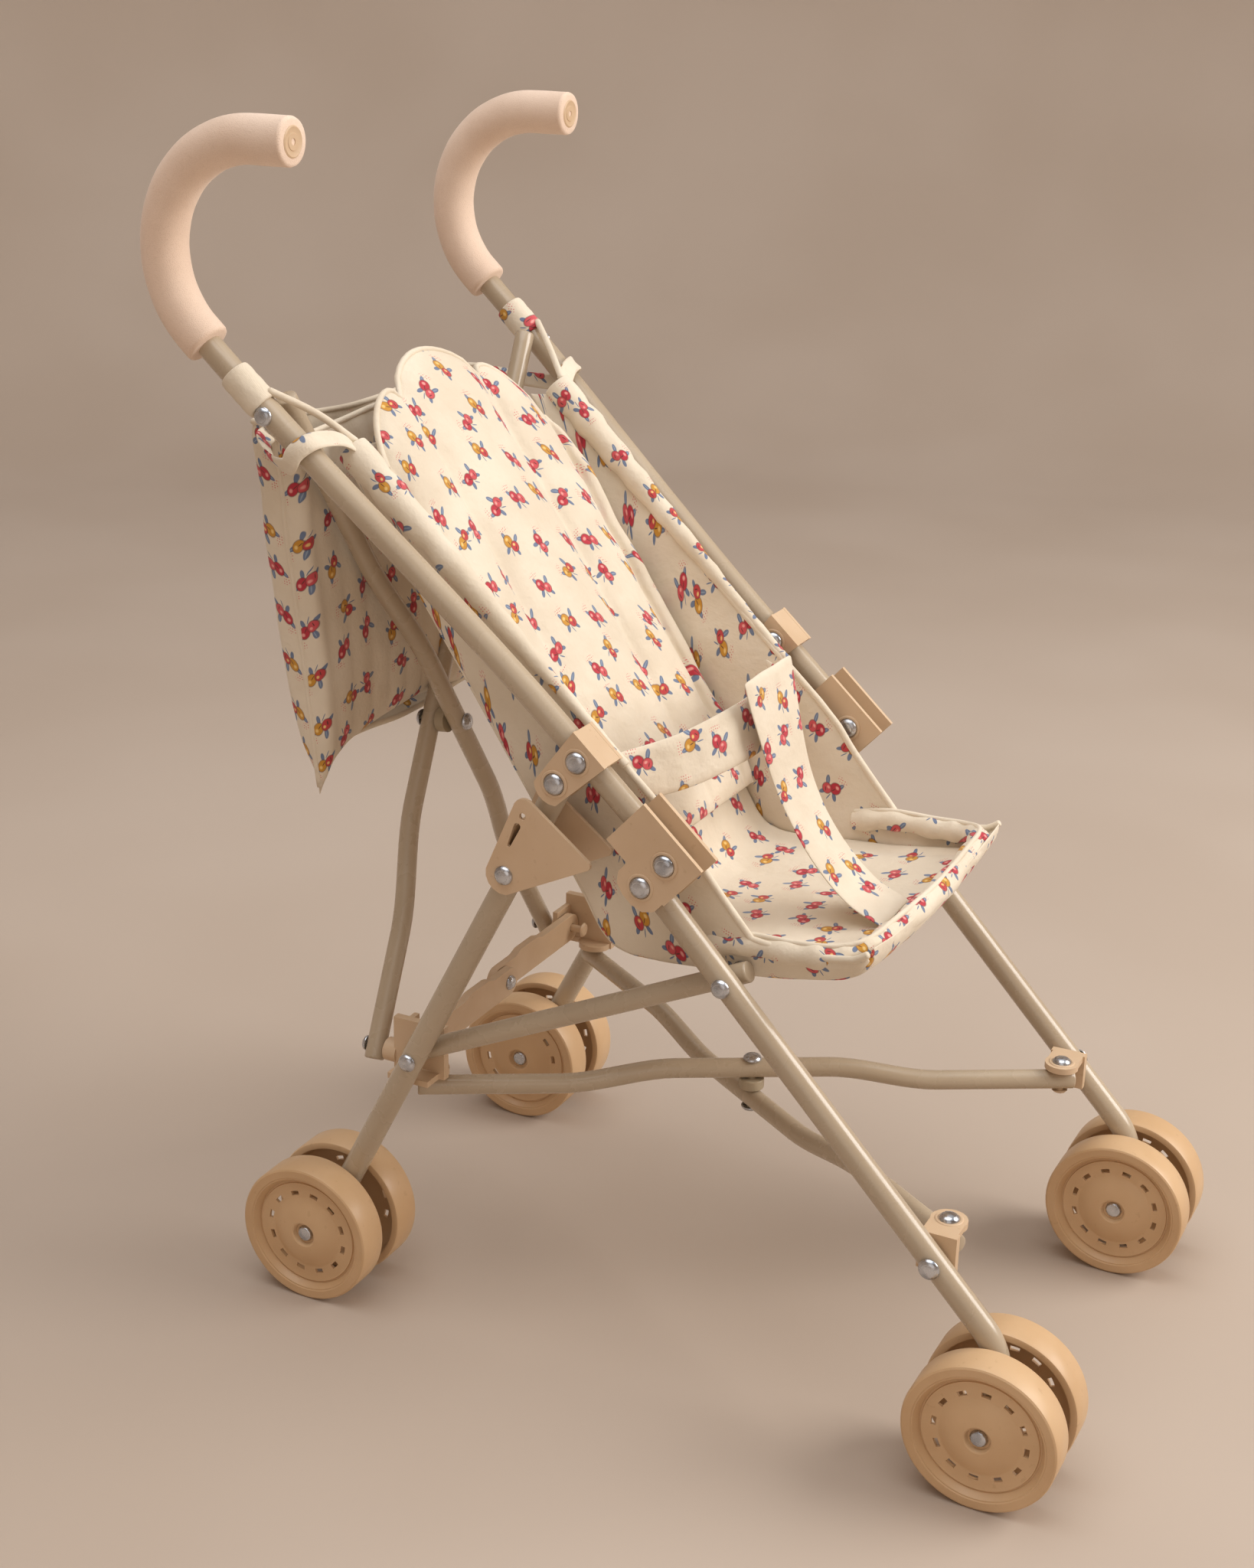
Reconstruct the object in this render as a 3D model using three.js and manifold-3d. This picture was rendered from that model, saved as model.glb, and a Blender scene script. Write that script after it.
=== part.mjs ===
// Doll stroller: a folding cane-handle frame on four pairs of wheels, with a sewn seat and a rear bag.
// Millimetres, +Z up. X is across the stroller, and it faces -Y. The side "right" is at -X.
import * as THREE from 'three'
import { mergeVertices } from 'three/addons/utils/BufferGeometryUtils.js'
import Module from 'manifold-3d'

const wasm = await Module()
wasm.setup()

// ---------- driving sizes ----------
const PLANE_X = 110 // middle plane of each side frame
const TUBE_R = 6
const BAR_R = 5 // side links and cross bars
const PIN_R = 2
const HOLE_R = 2.3
const WHEEL_R = 36
const WHEEL_W = 18
const WHEEL_GAP = 6.6 // from the middle plane to the inner edge of a wheel
const GRIP_R = 11
const GRIP_BORE = 6.3
const END = 7 // how far a tube runs past its pin
const CHEEK_IN = 6.7 // moulded cheeks beside a tube: inner and outer face
const CHEEK_OUT = 8.9
const RAIL_ANGLE = 42 // handle rails, above level
const LEG_ANGLE = 46.4 // front legs, below level
const REAR_ANGLE = 63.3 // rear legs, below level

// ---------- side-frame layout, all as [y, z] ----------
const rad = THREE.MathUtils.degToRad
const at = (p, d, s) => [p[0] + d[0] * s, p[1] + d[1] * s]
const U = [Math.cos(rad(RAIL_ANGLE)), Math.sin(rad(RAIL_ANGLE))] // up along the handle rail
const N = [-U[1], U[0]] // square to it, to the front
const L = [-Math.cos(rad(LEG_ANGLE)), -Math.sin(rad(LEG_ANGLE))] // down the front leg
const R = [Math.cos(rad(REAR_ANGLE)), -Math.sin(rad(REAR_ANGLE))] // down the rear leg
const RN = [-R[1], R[0]] // square to the rear leg, to the back
const ELBOW = [-30, 267] // pin that joins handle rail and front leg
const BRACKET = at(ELBOW, U, 59.6)
const LEG_TOP = at(BRACKET, N, -15.9) // pivot of the rear leg
const SADDLE_PIN = at(ELBOW, N, -17)
const LINK_FRONT = at(SADDLE_PIN, L, 57)
const FRONT_PIN = at(SADDLE_PIN, L, 209.7)
const CATCH_PIN = at(LEG_TOP, R, 53.5)
const LINK_REAR = at(LEG_TOP, R, 177.9)
const FRONT_AXLE = [-196.6, WHEEL_R]
const REAR_AXLE = [155.2, WHEEL_R]

// ---------- cross bars ----------
const LOW_X = 88 // pivots of the lower cross, from the middle of the stroller
const LOW_FRONT = [-162, 103]
const LOW_REAR = [108, 111]
const BACK_BOTTOM = [140, 125]
const BACK_TOP = [168, 445]
const BACK_TOP_X = 107

// ---------- seat ----------
const BACK_ANGLE = 56
const BD = [Math.cos(rad(BACK_ANGLE)), Math.sin(rad(BACK_ANGLE))]
const BN = [-BD[1], BD[0]]
const SEAT_HALF = 90
const WALL = 3.5
const BACK_FOOT = [15, 223]

// ---------- helpers ----------
const v3 = (x, y, z) => new THREE.Vector3(x, y, z)

function toManifold(geometry) {
  const g = geometry.index ? geometry.toNonIndexed() : geometry.clone()
  g.deleteAttribute('normal')
  g.deleteAttribute('uv')
  const m = mergeVertices(g, 1e-4)
  const mesh = new wasm.Mesh({
    numProp: 3,
    vertProperties: new Float32Array(m.attributes.position.array),
    triVerts: new Uint32Array(m.index.array),
  })
  return new wasm.Manifold(mesh)
}

function fromManifold(manifold) {
  const mesh = manifold.getMesh()
  const g = new THREE.BufferGeometry()
  const position = new Float32Array((mesh.vertProperties.length / mesh.numProp) * 3)
  for (let i = 0; i < position.length; i++) {
    position[i] = mesh.vertProperties[Math.floor(i / 3) * mesh.numProp + (i % 3)]
  }
  g.setAttribute('position', new THREE.BufferAttribute(position, 3))
  g.setIndex(new THREE.BufferAttribute(new Uint32Array(mesh.triVerts), 1))
  g.computeVertexNormals()
  return g
}

const join = (...parts) => parts.reduce((a, b) => a.add(b))
const cut = (body, ...tools) => tools.reduce((a, b) => a.subtract(b), body)

// a flat outline in (y, z), made solid between two places on X
function slab(shape, xa, xb, segments = 10) {
  const x0 = Math.min(xa, xb)
  const depth = Math.abs(xb - xa)
  const g = new THREE.ExtrudeGeometry(shape, { depth, bevelEnabled: false, curveSegments: segments })
  g.applyMatrix4(new THREE.Matrix4().makeBasis(v3(0, 1, 0), v3(0, 0, 1), v3(1, 0, 0)))
  g.translate(x0, 0, 0)
  return toManifold(g)
}

function polygon(points) {
  return new THREE.Shape(points.map((p) => new THREE.Vector2(p[0], p[1])))
}

// the outline around circles [y, z, radius], in order
function hull(circles, steps = 5) {
  const points = []
  const count = circles.length
  for (let i = 0; i < count; i++) {
    const [y, z, r] = circles[i]
    const previous = circles[(i + count - 1) % count]
    const next = circles[(i + 1) % count]
    const angleIn = tangentAngle(previous, circles[i])
    let angleOut = tangentAngle(circles[i], next)
    while (angleOut < angleIn) angleOut += 2 * Math.PI
    for (let k = 0; k <= steps; k++) {
      const a = angleIn + ((angleOut - angleIn) * k) / steps
      points.push([y + r * Math.cos(a), z + r * Math.sin(a)])
    }
  }
  return polygon(points)
}

// direction, from the centres, in which the outer tangent of two circles touches both
function tangentAngle(a, b) {
  const dy = b[0] - a[0]
  const dz = b[1] - a[1]
  const distance = Math.hypot(dy, dz)
  return Math.atan2(dz, dy) - Math.PI / 2 + Math.asin((b[2] - a[2]) / distance)
}

function rod(from, to, radius, segments = 12) {
  const axis = to.clone().sub(from)
  const g = new THREE.CylinderGeometry(radius, radius, axis.length(), segments)
  g.applyQuaternion(new THREE.Quaternion().setFromUnitVectors(v3(0, 1, 0), axis.clone().normalize()))
  g.translate((from.x + to.x) / 2, (from.y + to.y) / 2, (from.z + to.z) / 2)
  return toManifold(g)
}

// a domed rivet head that sits at a point and rises along a direction
function dome(point, direction, radius, height) {
  const steps = [[0, 0], [radius, 0], [radius * 0.8, height * 0.6], [0, height]]
  const profile = steps.map((p) => new THREE.Vector2(...p))
  const g = new THREE.LatheGeometry(profile, 12)
  g.applyQuaternion(new THREE.Quaternion().setFromUnitVectors(v3(0, 1, 0), direction.clone().normalize()))
  g.translate(point.x, point.y, point.z)
  return toManifold(g)
}

// a pin across one side frame, between two distances from its middle plane, with a head at each end
function crossPin(side, p, inner, outer, head = 4.6) {
  const xi = side * (PLANE_X + inner)
  const xo = side * (PLANE_X + outer)
  return join(
    rod(v3(xi - side * 0.4, p[0], p[1]), v3(xo + side * 0.4, p[0], p[1]), PIN_R),
    dome(v3(xo, p[0], p[1]), v3(side, 0, 0), head, 2.2),
    dome(v3(xi, p[0], p[1]), v3(-side, 0, 0), head, 1.6)
  )
}

const crossHole = (p, side) =>
  rod(v3(side * (PLANE_X - 24), p[0], p[1]), v3(side * (PLANE_X + 24), p[0], p[1]), HOLE_R)

function circle(radius, segments = 16) {
  const points = []
  for (let i = 0; i < segments; i++) {
    const a = (i / segments) * 2 * Math.PI
    points.push(new THREE.Vector2(radius * Math.cos(a), radius * Math.sin(a)))
  }
  return points
}

// a curve whose steps are set by a list of stations; place gives the point at each distance
class Stations extends THREE.Curve {
  constructor(place, stations) {
    super()
    Object.assign(this, { place, stations })
  }
  getUtoTmapping(u) {
    return u
  }
  getPoint(t, target = new THREE.Vector3()) {
    const last = this.stations.length - 1
    const i = Math.min(last - 1, Math.floor(t * last))
    const from = this.stations[i]
    return target.copy(this.place(from + (this.stations[i + 1] - from) * (t * last - i)))
  }
}

const spread = (from, to, steps) => {
  return Array.from({ length: steps + 1 }, (_, i) => from + ((to - from) * i) / steps)
}

// a round tube or bar along a line of stations
function sweep(place, stations, outer, inner = 0, segments = 12) {
  const shape = new THREE.Shape(circle(outer, segments))
  if (inner) shape.holes.push(new THREE.Path(circle(inner, segments)))
  const extrudePath = new Stations(place, stations)
  const steps = stations.length - 1
  const g = new THREE.ExtrudeGeometry(shape, { steps, bevelEnabled: false, extrudePath })
  return toManifold(g)
}

const smooth = (t) => {
  const c = Math.min(1, Math.max(0, t))
  return c * c * (3 - 2 * c)
}

// ---------- handle rail with its cane hook ----------
const SPLAY = 15 // the handles stand further apart than the wheels
const SPLAY_FROM = 72
const HOOK_FROM = 316
const HOOK_R = 48.6
const HOOK_END = 21
const GRIP_FROM = 308
const CAP_DEPTH = 4

const RAIL_TURN = HOOK_R * rad(180 - RAIL_ANGLE)
const RAIL_LENGTH = HOOK_FROM + RAIL_TURN + HOOK_END

// the middle of a handle rail, at a distance from the elbow
const railPlace = (side) => (s) => {
  const x = PLANE_X + SPLAY * smooth((s - SPLAY_FROM) / (HOOK_FROM - SPLAY_FROM))
  const straight = at(ELBOW, U, Math.min(s, HOOK_FROM))
  if (s <= HOOK_FROM) return v3(side * x, ...straight)
  const centre = at(straight, N, HOOK_R)
  const angle = rad(RAIL_ANGLE - 90) + Math.min(s - HOOK_FROM, RAIL_TURN) / HOOK_R
  const forward = Math.max(0, s - HOOK_FROM - RAIL_TURN)
  const y = centre[0] + HOOK_R * Math.cos(angle) - forward
  return v3(side * x, y, centre[1] + HOOK_R * Math.sin(angle))
}
const hookStations = (steps) => spread(HOOK_FROM, HOOK_FROM + RAIL_TURN, steps)

function handleRail(side) {
  const straight = [-END, ...spread(SPLAY_FROM, HOOK_FROM, 6).slice(0, -1)]
  const stations = [...straight, ...hookStations(10), RAIL_LENGTH - CAP_DEPTH - 0.6]
  return cut(sweep(railPlace(side), stations, TUBE_R), crossHole(ELBOW, side), crossHole(BRACKET, side))
}

function grip(side) {
  return sweep(railPlace(side), [GRIP_FROM, ...hookStations(10), RAIL_LENGTH], GRIP_R, GRIP_BORE, 12)
}

function gripCap(side) {
  const end = railPlace(side)(RAIL_LENGTH)
  const face = end.clone().add(v3(0, 1, 0))
  const back = end.clone().add(v3(0, CAP_DEPTH, 0))
  return cut(rod(face, back, 6, 16), rod(end, back.clone().add(v3(0, 1, 0)), 1.2, 8))
}

// ---------- legs and links ----------
const LEG_BEND = 14 // from the corner of the front leg to each end of its bend
function frontLeg(side) {
  const x = side * PLANE_X
  const corner = (FRONT_AXLE[0] - SADDLE_PIN[0]) / L[0]
  const place = (s) => {
    const [y, z] = at(SADDLE_PIN, L, corner)
    if (s <= corner - LEG_BEND) return v3(x, ...at(SADDLE_PIN, L, s))
    if (s >= corner + LEG_BEND) return v3(x, y, z - (s - corner))
    const t = (s - corner + LEG_BEND) / (2 * LEG_BEND)
    const start = v3(x, ...at([y, z], L, -LEG_BEND))
    return new THREE.QuadraticBezierCurve3(start, v3(x, y, z), v3(x, y, z - LEG_BEND)).getPoint(t)
  }
  const foot = corner + at(SADDLE_PIN, L, corner)[1] - FRONT_AXLE[1] + END
  const stations = [-END, ...spread(corner - LEG_BEND, corner + LEG_BEND, 6), foot]
  const holes = [SADDLE_PIN, LINK_FRONT, FRONT_PIN, FRONT_AXLE].map((p) => crossHole(p, side))
  return cut(sweep(place, stations, TUBE_R), ...holes)
}

function rearLeg(side) {
  const x = side * PLANE_X
  const a = at(LEG_TOP, R, -END)
  const b = at(REAR_AXLE, R, END)
  const holes = [LEG_TOP, CATCH_PIN, REAR_AXLE].map((p) => crossHole(p, side))
  return cut(rod(v3(x, ...a), v3(x, ...b), TUBE_R), ...holes)
}

const LINK_X = PLANE_X - 11.6
function sideLink(side) {
  const x = side * LINK_X
  const run = [LINK_REAR[0] - LINK_FRONT[0], LINK_REAR[1] - LINK_FRONT[1]]
  const direction = run.map((d) => d / Math.hypot(...run))
  const a = at(LINK_FRONT, direction, -END)
  const b = at(LINK_REAR, direction, END)
  return cut(rod(v3(x, ...a), v3(x, ...b), BAR_R), crossHole(LINK_FRONT, side))
}

// ---------- moulded joints ----------
// a rectangle on one side frame, from a0 to a1 along the handle rail and b0 to b1 square to it
function plate(p, a0, a1, b0, b1) {
  const corners = [[a0, b0], [a0, b1], [a1, b1], [a1, b0]]
  return polygon(corners.map(([a, b]) => at(at(p, U, a), N, b)).reverse())
}

// two equal plates on the two sides of a tube
function cheeks(side, shape, inner = CHEEK_IN, outer = CHEEK_OUT) {
  const x = side * PLANE_X
  return join(slab(shape, x + inner, x + outer), slab(shape, x - inner, x - outer))
}

// the web that joins the cheeks behind or in front of a tube
const web = (side, shape, half) => slab(shape, side * PLANE_X - half + 0.1, side * PLANE_X + half - 0.1)

// a rivet fixed in a moulding: through the tube, with its heads outside the cheeks
const rivet = (side, p) => crossPin(side, p, -CHEEK_OUT, CHEEK_OUT)

// wraps the front of the handle rail and carries the rear leg behind it
function railBracket(side) {
  const front = [-10.5, 10.5].map((a) => [...at(at(BRACKET, U, a), N, 9), 0.2])
  const outline = hull([[...LEG_TOP, 10.5], ...front.reverse()])
  const wrap = plate(BRACKET, -10.4, 10.4, 6.5, 9.1)
  const body = join(cheeks(side, outline), web(side, wrap, CHEEK_OUT), rivet(side, BRACKET))
  return cut(body, crossHole(LEG_TOP, side))
}

// sits on the top of the front leg; the handle rail rests in its channel, which is open to the front
function saddle(side) {
  const lobe = hull([[...at(SADDLE_PIN, U, -3), 9.5], [...at(SADDLE_PIN, U, 3), 9.5]])
  const channel = plate(ELBOW, -13, 26, -14, 12.5)
  const back = plate(ELBOW, 11, 25.9, -13.9, -11.6)
  const strapBehind = plate(ELBOW, -4, 3, -26.4, -23.7)
  const sides = join(cheeks(side, channel), cheeks(side, lobe))
  const webs = join(web(side, back, CHEEK_OUT), web(side, strapBehind, CHEEK_OUT))
  const body = join(sides, webs, rivet(side, SADDLE_PIN))
  return cut(body, crossHole(ELBOW, side))
}

// three-cornered clip on the rear leg, outside the cheeks of the other joints
const CATCH_IN = 9.5
const CATCH_OUT = 11.5
const CATCH_TOP = [39, 280.6]
const CATCH_TIP = [7.6, 260.2]
const CATCH_EYE = [39.5, 277.6]
const CATCH_SLOT = [[46.4, 262.5, 0.8], [42.2, 272.4, 1.7]]
function legCatch(side) {
  const x = side * PLANE_X
  const outline = hull([[...CATCH_PIN, 9.5], [...CATCH_TOP, 5.5], [...CATCH_TIP, 2.5]])
  const boss = (k) => rod(v3(x + k * 6.4, ...CATCH_PIN), v3(x + k * (CATCH_IN + 0.3), ...CATCH_PIN), 5)
  const behind = (s, b) => at(at(CATCH_PIN, R, -s), RN, b)
  const back = polygon([behind(3, 6.7), behind(3, 8.6), behind(24, 8), behind(24, 6.7)])
  const sides = join(cheeks(side, outline, CATCH_IN, CATCH_OUT), boss(-1), boss(1))
  const body = join(sides, web(side, back, CATCH_OUT))
  const eye = rod(v3(x - 14, ...CATCH_EYE), v3(x + 14, ...CATCH_EYE), 1.7, 10)
  const slot = slab(hull(CATCH_SLOT), x - 14, x + 14)
  return join(cut(body, eye, slot), crossPin(side, CATCH_PIN, -CATCH_OUT + 0.2, CATCH_OUT - 0.2))
}

// a box on one side frame, from the middle of the stroller outwards
function sideBox(side, [x0, x1], [y0, y1], [z0, z1]) {
  const g = new THREE.BoxGeometry(x1 - x0, y1 - y0, z1 - z0)
  g.translate((side * (x0 + x1)) / 2, (y0 + y1) / 2, (z0 + z1) / 2)
  return toManifold(g)
}

// clamp on the front leg: a side plate, an ear over the end of a lower bar, and the rivet down through both
const EAR = 3.2
function frontBracket(side) {
  const [y, z] = LOW_FRONT
  const low = z + 6.4
  const inside = PLANE_X - 6.4
  const ear = join(
    rod(v3(side * LOW_X, y, low), v3(side * LOW_X, y, low + EAR), 8.6, 18),
    sideBox(side, [LOW_X, inside], [y - 8, y + 8], [low, low + EAR])
  )
  const down = join(
    rod(v3(side * LOW_X, y, z - 6.2), v3(side * LOW_X, y, low + 1), PIN_R),
    dome(v3(side * LOW_X, y, low + EAR - 0.1), v3(0, 0, 1), 4.6, 2.2),
    dome(v3(side * LOW_X, y, z - 5.7), v3(0, 0, -1), 4.2, 1.6)
  )
  const wall = sideBox(side, [inside - 4.4, inside], [y - 9, y + 9], [z - 9, low + EAR])
  return join(wall, ear, down, crossPin(side, FRONT_PIN, -10, 6.6))
}

// on the rear leg: a wall, an ear over a lower bar, and a rear lug with the pivot of a brace arm
const BRACE_PIVOT = [80, 130] // x and z
const LUG = [124, 127]
function rearBracket(side) {
  const [y, z] = LOW_REAR
  const floor = z + 6.8
  const [bx, bz] = BRACE_PIVOT
  const wall = sideBox(side, [88.4, 92.7], [98, LUG[1]], [floor, 146])
  const ear = join(
    rod(v3(side * LOW_X, y, floor), v3(side * LOW_X, y, floor + EAR), 9, 18),
    sideBox(side, [LOW_X, PLANE_X - 6.4], [y - 7, y + 16], [floor, floor + EAR])
  )
  const lug = sideBox(side, [73, 92.7], LUG, [floor, 140])
  const pin = join(
    rod(v3(side * bx, 110.4, bz), v3(side * bx, LUG[0] + 1, bz), PIN_R),
    dome(v3(side * bx, 111.4, bz), v3(0, -1, 0), 4.2, 1.8)
  )
  const foot = BACK_BOTTOM[1]
  const spacer = rod(v3(side * LOW_X, LUG[1] - 1, foot), v3(side * LOW_X, 133.2, foot), 6, 16)
  return join(wall, ear, lug, pin, spacer)
}

// ---------- crossed bars ----------
const BAR_BOW = 8 // each bar bows away from the other where they cross
const BOW_HALF = 0.3 // half of the bowed stretch, as a share of the length
const BOW_RISE = 0.18
const BOW_STEPS = [-0.3, -0.24, -0.18, -0.12, -0.06, 0.06, 0.12, 0.18, 0.24, 0.3]

// a bar between two pivots that bows to one side around its crossing, a share of the way along
function bowedBar(from, to, normal, bow, crossing) {
  const length = from.distanceTo(to)
  const place = (t) => {
    const rise = smooth((BOW_HALF - Math.abs(t - crossing)) / BOW_RISE)
    return from.clone().lerp(to, t).addScaledVector(normal, bow * rise)
  }
  const stations = [-END / length, ...BOW_STEPS.map((step) => crossing + step), 1 + END / length]
  return sweep(place, stations, BAR_R, 0, 10)
}

const pinHole = (p, normal) =>
  rod(p.clone().addScaledVector(normal, -20), p.clone().addScaledVector(normal, 20), HOLE_R, 10)

// the spacer between two crossed bars, with the pin and head that hold the first bar
function crossSpacer(centre, normal, reach = 1) {
  const p = (s) => centre.clone().addScaledVector(normal, s)
  const head = dome(p(-13.5), normal.clone().negate(), 4.4, 2)
  return join(rod(p(-2.6), p(2.6), 6.4, 16), rod(p(-14), p(reach), PIN_R), head)
}

// the same with a pin through both bars and a head at each end
const throughSpacer = (centre, normal) =>
  join(crossSpacer(centre, normal, 14), dome(centre.clone().addScaledVector(normal, 13.5), normal, 4.4, 2))

// the lower cross: the bar from the right front passes under the one from the left front
const UPWARDS = v3(0, 0, 1)
const lowCentre = v3(0, (LOW_FRONT[0] + LOW_REAR[0]) / 2, (LOW_FRONT[1] + LOW_REAR[1]) / 2)
function lowerBar(side) {
  const front = v3(side * LOW_X, ...LOW_FRONT)
  const rear = v3(-side * LOW_X, ...LOW_REAR)
  const bar = bowedBar(front, rear, UPWARDS, side * BAR_BOW, 0.5)
  return cut(bar, pinHole(front, UPWARDS), pinHole(lowCentre, UPWARDS))
}

// the back cross: the bar with its foot on the right passes behind the other
const backNormal = v3(0, -(BACK_TOP[1] - BACK_BOTTOM[1]), BACK_TOP[0] - BACK_BOTTOM[0]).normalize()
const BACK_CROSSING = LOW_X / (LOW_X + BACK_TOP_X)
const backFoot = (side) => v3(side * LOW_X, ...BACK_BOTTOM)
const backHead = (side) => v3(side * BACK_TOP_X, ...BACK_TOP)
const backCentre = backFoot(1).lerp(backHead(-1), BACK_CROSSING)
function backBar(side) {
  const bar = bowedBar(backFoot(side), backHead(-side), backNormal, side * BAR_BOW, BACK_CROSSING)
  return cut(bar, pinHole(backCentre, backNormal))
}

// ---------- folding brace between the rear legs ----------
const BRACE_HALF = 7.5
const BRACE_BULGE = 9.5
const BRACE_THICK = 4.4
const BRACE_OVERLAP = 1
const BRACE_Y = { '-1': 113.2, 1: 118.4 } // the two arms lie one behind the other
function braceArm(side) {
  const [bx, bz] = BRACE_PIVOT
  const outline = new THREE.Shape()
  outline.absarc(bx, 0, BRACE_HALF, -Math.PI / 2, Math.PI / 2, false)
  outline.lineTo(46, BRACE_HALF)
  outline.lineTo(40, BRACE_BULGE)
  outline.lineTo(22, BRACE_BULGE)
  outline.lineTo(16, BRACE_HALF)
  outline.absarc(-BRACE_OVERLAP, 0, BRACE_HALF, Math.PI / 2, (3 * Math.PI) / 2, false)
  const depth = BRACE_THICK
  const g = new THREE.ExtrudeGeometry(outline, { depth, bevelEnabled: false, curveSegments: 8 })
  g.rotateX(Math.PI / 2)
  g.translate(0, BRACE_Y[side] + BRACE_THICK, bz)
  if (side < 0) g.rotateZ(Math.PI).translate(0, 2 * BRACE_Y[side] + BRACE_THICK, 0)
  const pivot = v3(side * bx, BRACE_Y[side], bz)
  return cut(toManifold(g), pinHole(pivot, v3(0, 1, 0)))
}

// ---------- wheels ----------
const WHEEL_PROFILE = [
  [2.6, 6.5], [8, 6.5], [8, 11.5], [27, 11], [31, 0], [WHEEL_R - 1.2, 0], [WHEEL_R, 1.4],
  [WHEEL_R, WHEEL_W - 1.4], [WHEEL_R - 1.2, WHEEL_W], [30.5, WHEEL_W], [27, 14.8], [12, 17.6],
  [6, 18], [5.2, 15.5], [2.6, 15.5], [2.6, 6.5],
] // radius and height above the edge next to the tube

// a dished disc: a domed hub on the outer face, hollow towards the tube; it stands on a flat of its rim
const WHEEL_SIDES = 20
function wheel(side, axle, which) {
  const outward = which === 'outer' ? side : -side
  const half = Math.PI / WHEEL_SIDES
  const profile = WHEEL_PROFILE.map(([r, h]) => new THREE.Vector2(r / Math.cos(half), h))
  const g = new THREE.LatheGeometry(profile, WHEEL_SIDES, half)
  g.rotateZ((-outward * Math.PI) / 2)
  g.translate(side * PLANE_X + outward * WHEEL_GAP, ...axle)
  return toManifold(g)
}

const axlePin = (side, axle) => crossPin(side, axle, -WHEEL_GAP - 15.8, WHEEL_GAP + 15.8, 4.4)

// ---------- seat, pad, bag and straps ----------
const onRail = (a, b) => at(at(ELBOW, U, a), N, b)
const onBack = (a, b) => at(at(BACK_FOOT, BD, a), BN, b)

// one sewn piece: side wings up to the handle rails, back, seat and an upturned front lip
function seatSling() {
  const wings = [onRail(232, 2), onRail(0, 2)]
  const front = [[-62, 224], [-100, 225], [-114, 237], [-119, 237], [-118, 226], [-108, 215]]
  const under = [[-78, 209], [-16, 203], [10, 206], [20, 214]]
  const outer = polygon([...wings, ...front, ...under, onBack(246, -6)])
  const beyond = [onBack(320, -0.5), onBack(320, 250), [-200, 300], [-113, 252]]
  const floor = [[-112.5, 235], [-104, 223], [-80, 215], [-16, 209], [6, 211], BACK_FOOT]
  const cavity = slab(polygon([...beyond, ...floor]), -SEAT_HALF + WALL, SEAT_HALF - WALL)
  return cut(slab(outer, -SEAT_HALF, SEAT_HALF), cavity)
}

// quilted pad against the back of the sling, with a scalloped top
const PAD_HALF = 82
const PAD_THICK = 13
const PAD_CUSPS = [[82, 222], [65, 234], [30, 256], [-30, 256], [-65, 234], [-82, 222]] // between the lobes
const PAD_LOBES = [236, 268, 292, 268, 236] // how high each lobe's curve is drawn
function backPad() {
  const outline = new THREE.Shape()
  outline.moveTo(-PAD_HALF, 10)
  outline.lineTo(PAD_HALF, 10)
  outline.lineTo(...PAD_CUSPS[0])
  PAD_LOBES.forEach((top, i) => {
    const [x0, x1] = [PAD_CUSPS[i][0], PAD_CUSPS[i + 1][0]]
    outline.quadraticCurveTo((x0 + x1) / 2, top, ...PAD_CUSPS[i + 1])
  })
  const g = new THREE.ExtrudeGeometry(outline, { depth: PAD_THICK, bevelEnabled: false, curveSegments: 6 })
  g.applyMatrix4(new THREE.Matrix4().makeBasis(v3(1, 0, 0), v3(0, ...BD), v3(0, ...BN)))
  g.translate(0, ...onBack(0, 0.6))
  return toManifold(g)
}

// flat pocket behind the back cross, open at the top
const BAG_HALF = 98
function rearBag() {
  const outer = [[176, 432], [172, 330], [170, 262], [174, 254], [183, 262], [196, 330], [201, 430]]
  const inner = [[179, 440], [175.4, 330], [173.6, 268], [176, 262], [180.5, 266], [193, 330], [198, 440]]
  return cut(slab(polygon(outer), -BAG_HALF, BAG_HALF), slab(polygon(inner), -BAG_HALF + 3, BAG_HALF - 3))
}

// a flat strap along a curve; across gives the direction of its width
function strap(points, width, thick, across, steps) {
  const curve = new THREE.CatmullRomCurve3(points)
  const corners = []
  for (let i = 0; i <= steps; i++) {
    const t = curve.getTangent(i / steps)
    const w = across.clone().addScaledVector(t, -across.dot(t)).normalize()
    const face = t.clone().cross(w).normalize()
    for (const [a, b] of [[-1, -1], [1, -1], [1, 1], [-1, 1]]) {
      const corner = curve.getPoint(i / steps).addScaledVector(w, (a * width(i / steps)) / 2)
      corners.push(corner.addScaledVector(face, (b * thick) / 2))
    }
  }
  const last = steps * 4
  const index = [0, 2, 1, 0, 3, 2, last, last + 1, last + 2, last, last + 2, last + 3]
  for (let i = 0; i < last; i++) {
    const beside = i % 4 === 3 ? i - 3 : i + 1
    index.push(i, beside + 4, i + 4, i, beside, beside + 4)
  }
  const g = new THREE.BufferGeometry().setFromPoints(corners)
  g.setIndex(index)
  return toManifold(g)
}

function waistStrap() {
  const half = SEAT_HALF - WALL - 2
  const right = [v3(-half, 9, 290), v3(-60, -10, 294), v3(-28, -22, 299)]
  const left = right.map((p) => v3(-p.x, p.y, p.z)).reverse()
  return strap([...right, v3(0, -25, 301), ...left], () => 27, 2.4, v3(0, 0.27, 1), 20)
}

function crotchStrap() {
  const points = [v3(0, -25, 323), v3(0, -30.5, 303), v3(0, -42, 270), v3(0, -58, 242), v3(0, -79, 218.5)]
  return strap(points, (t) => 46 - 10 * t, 2.6, v3(1, 0, 0), 12)
}

const railLoop = (side) => sweep(railPlace(side), [272, 281, 290], 7.6, 6.3, 16)

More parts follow.
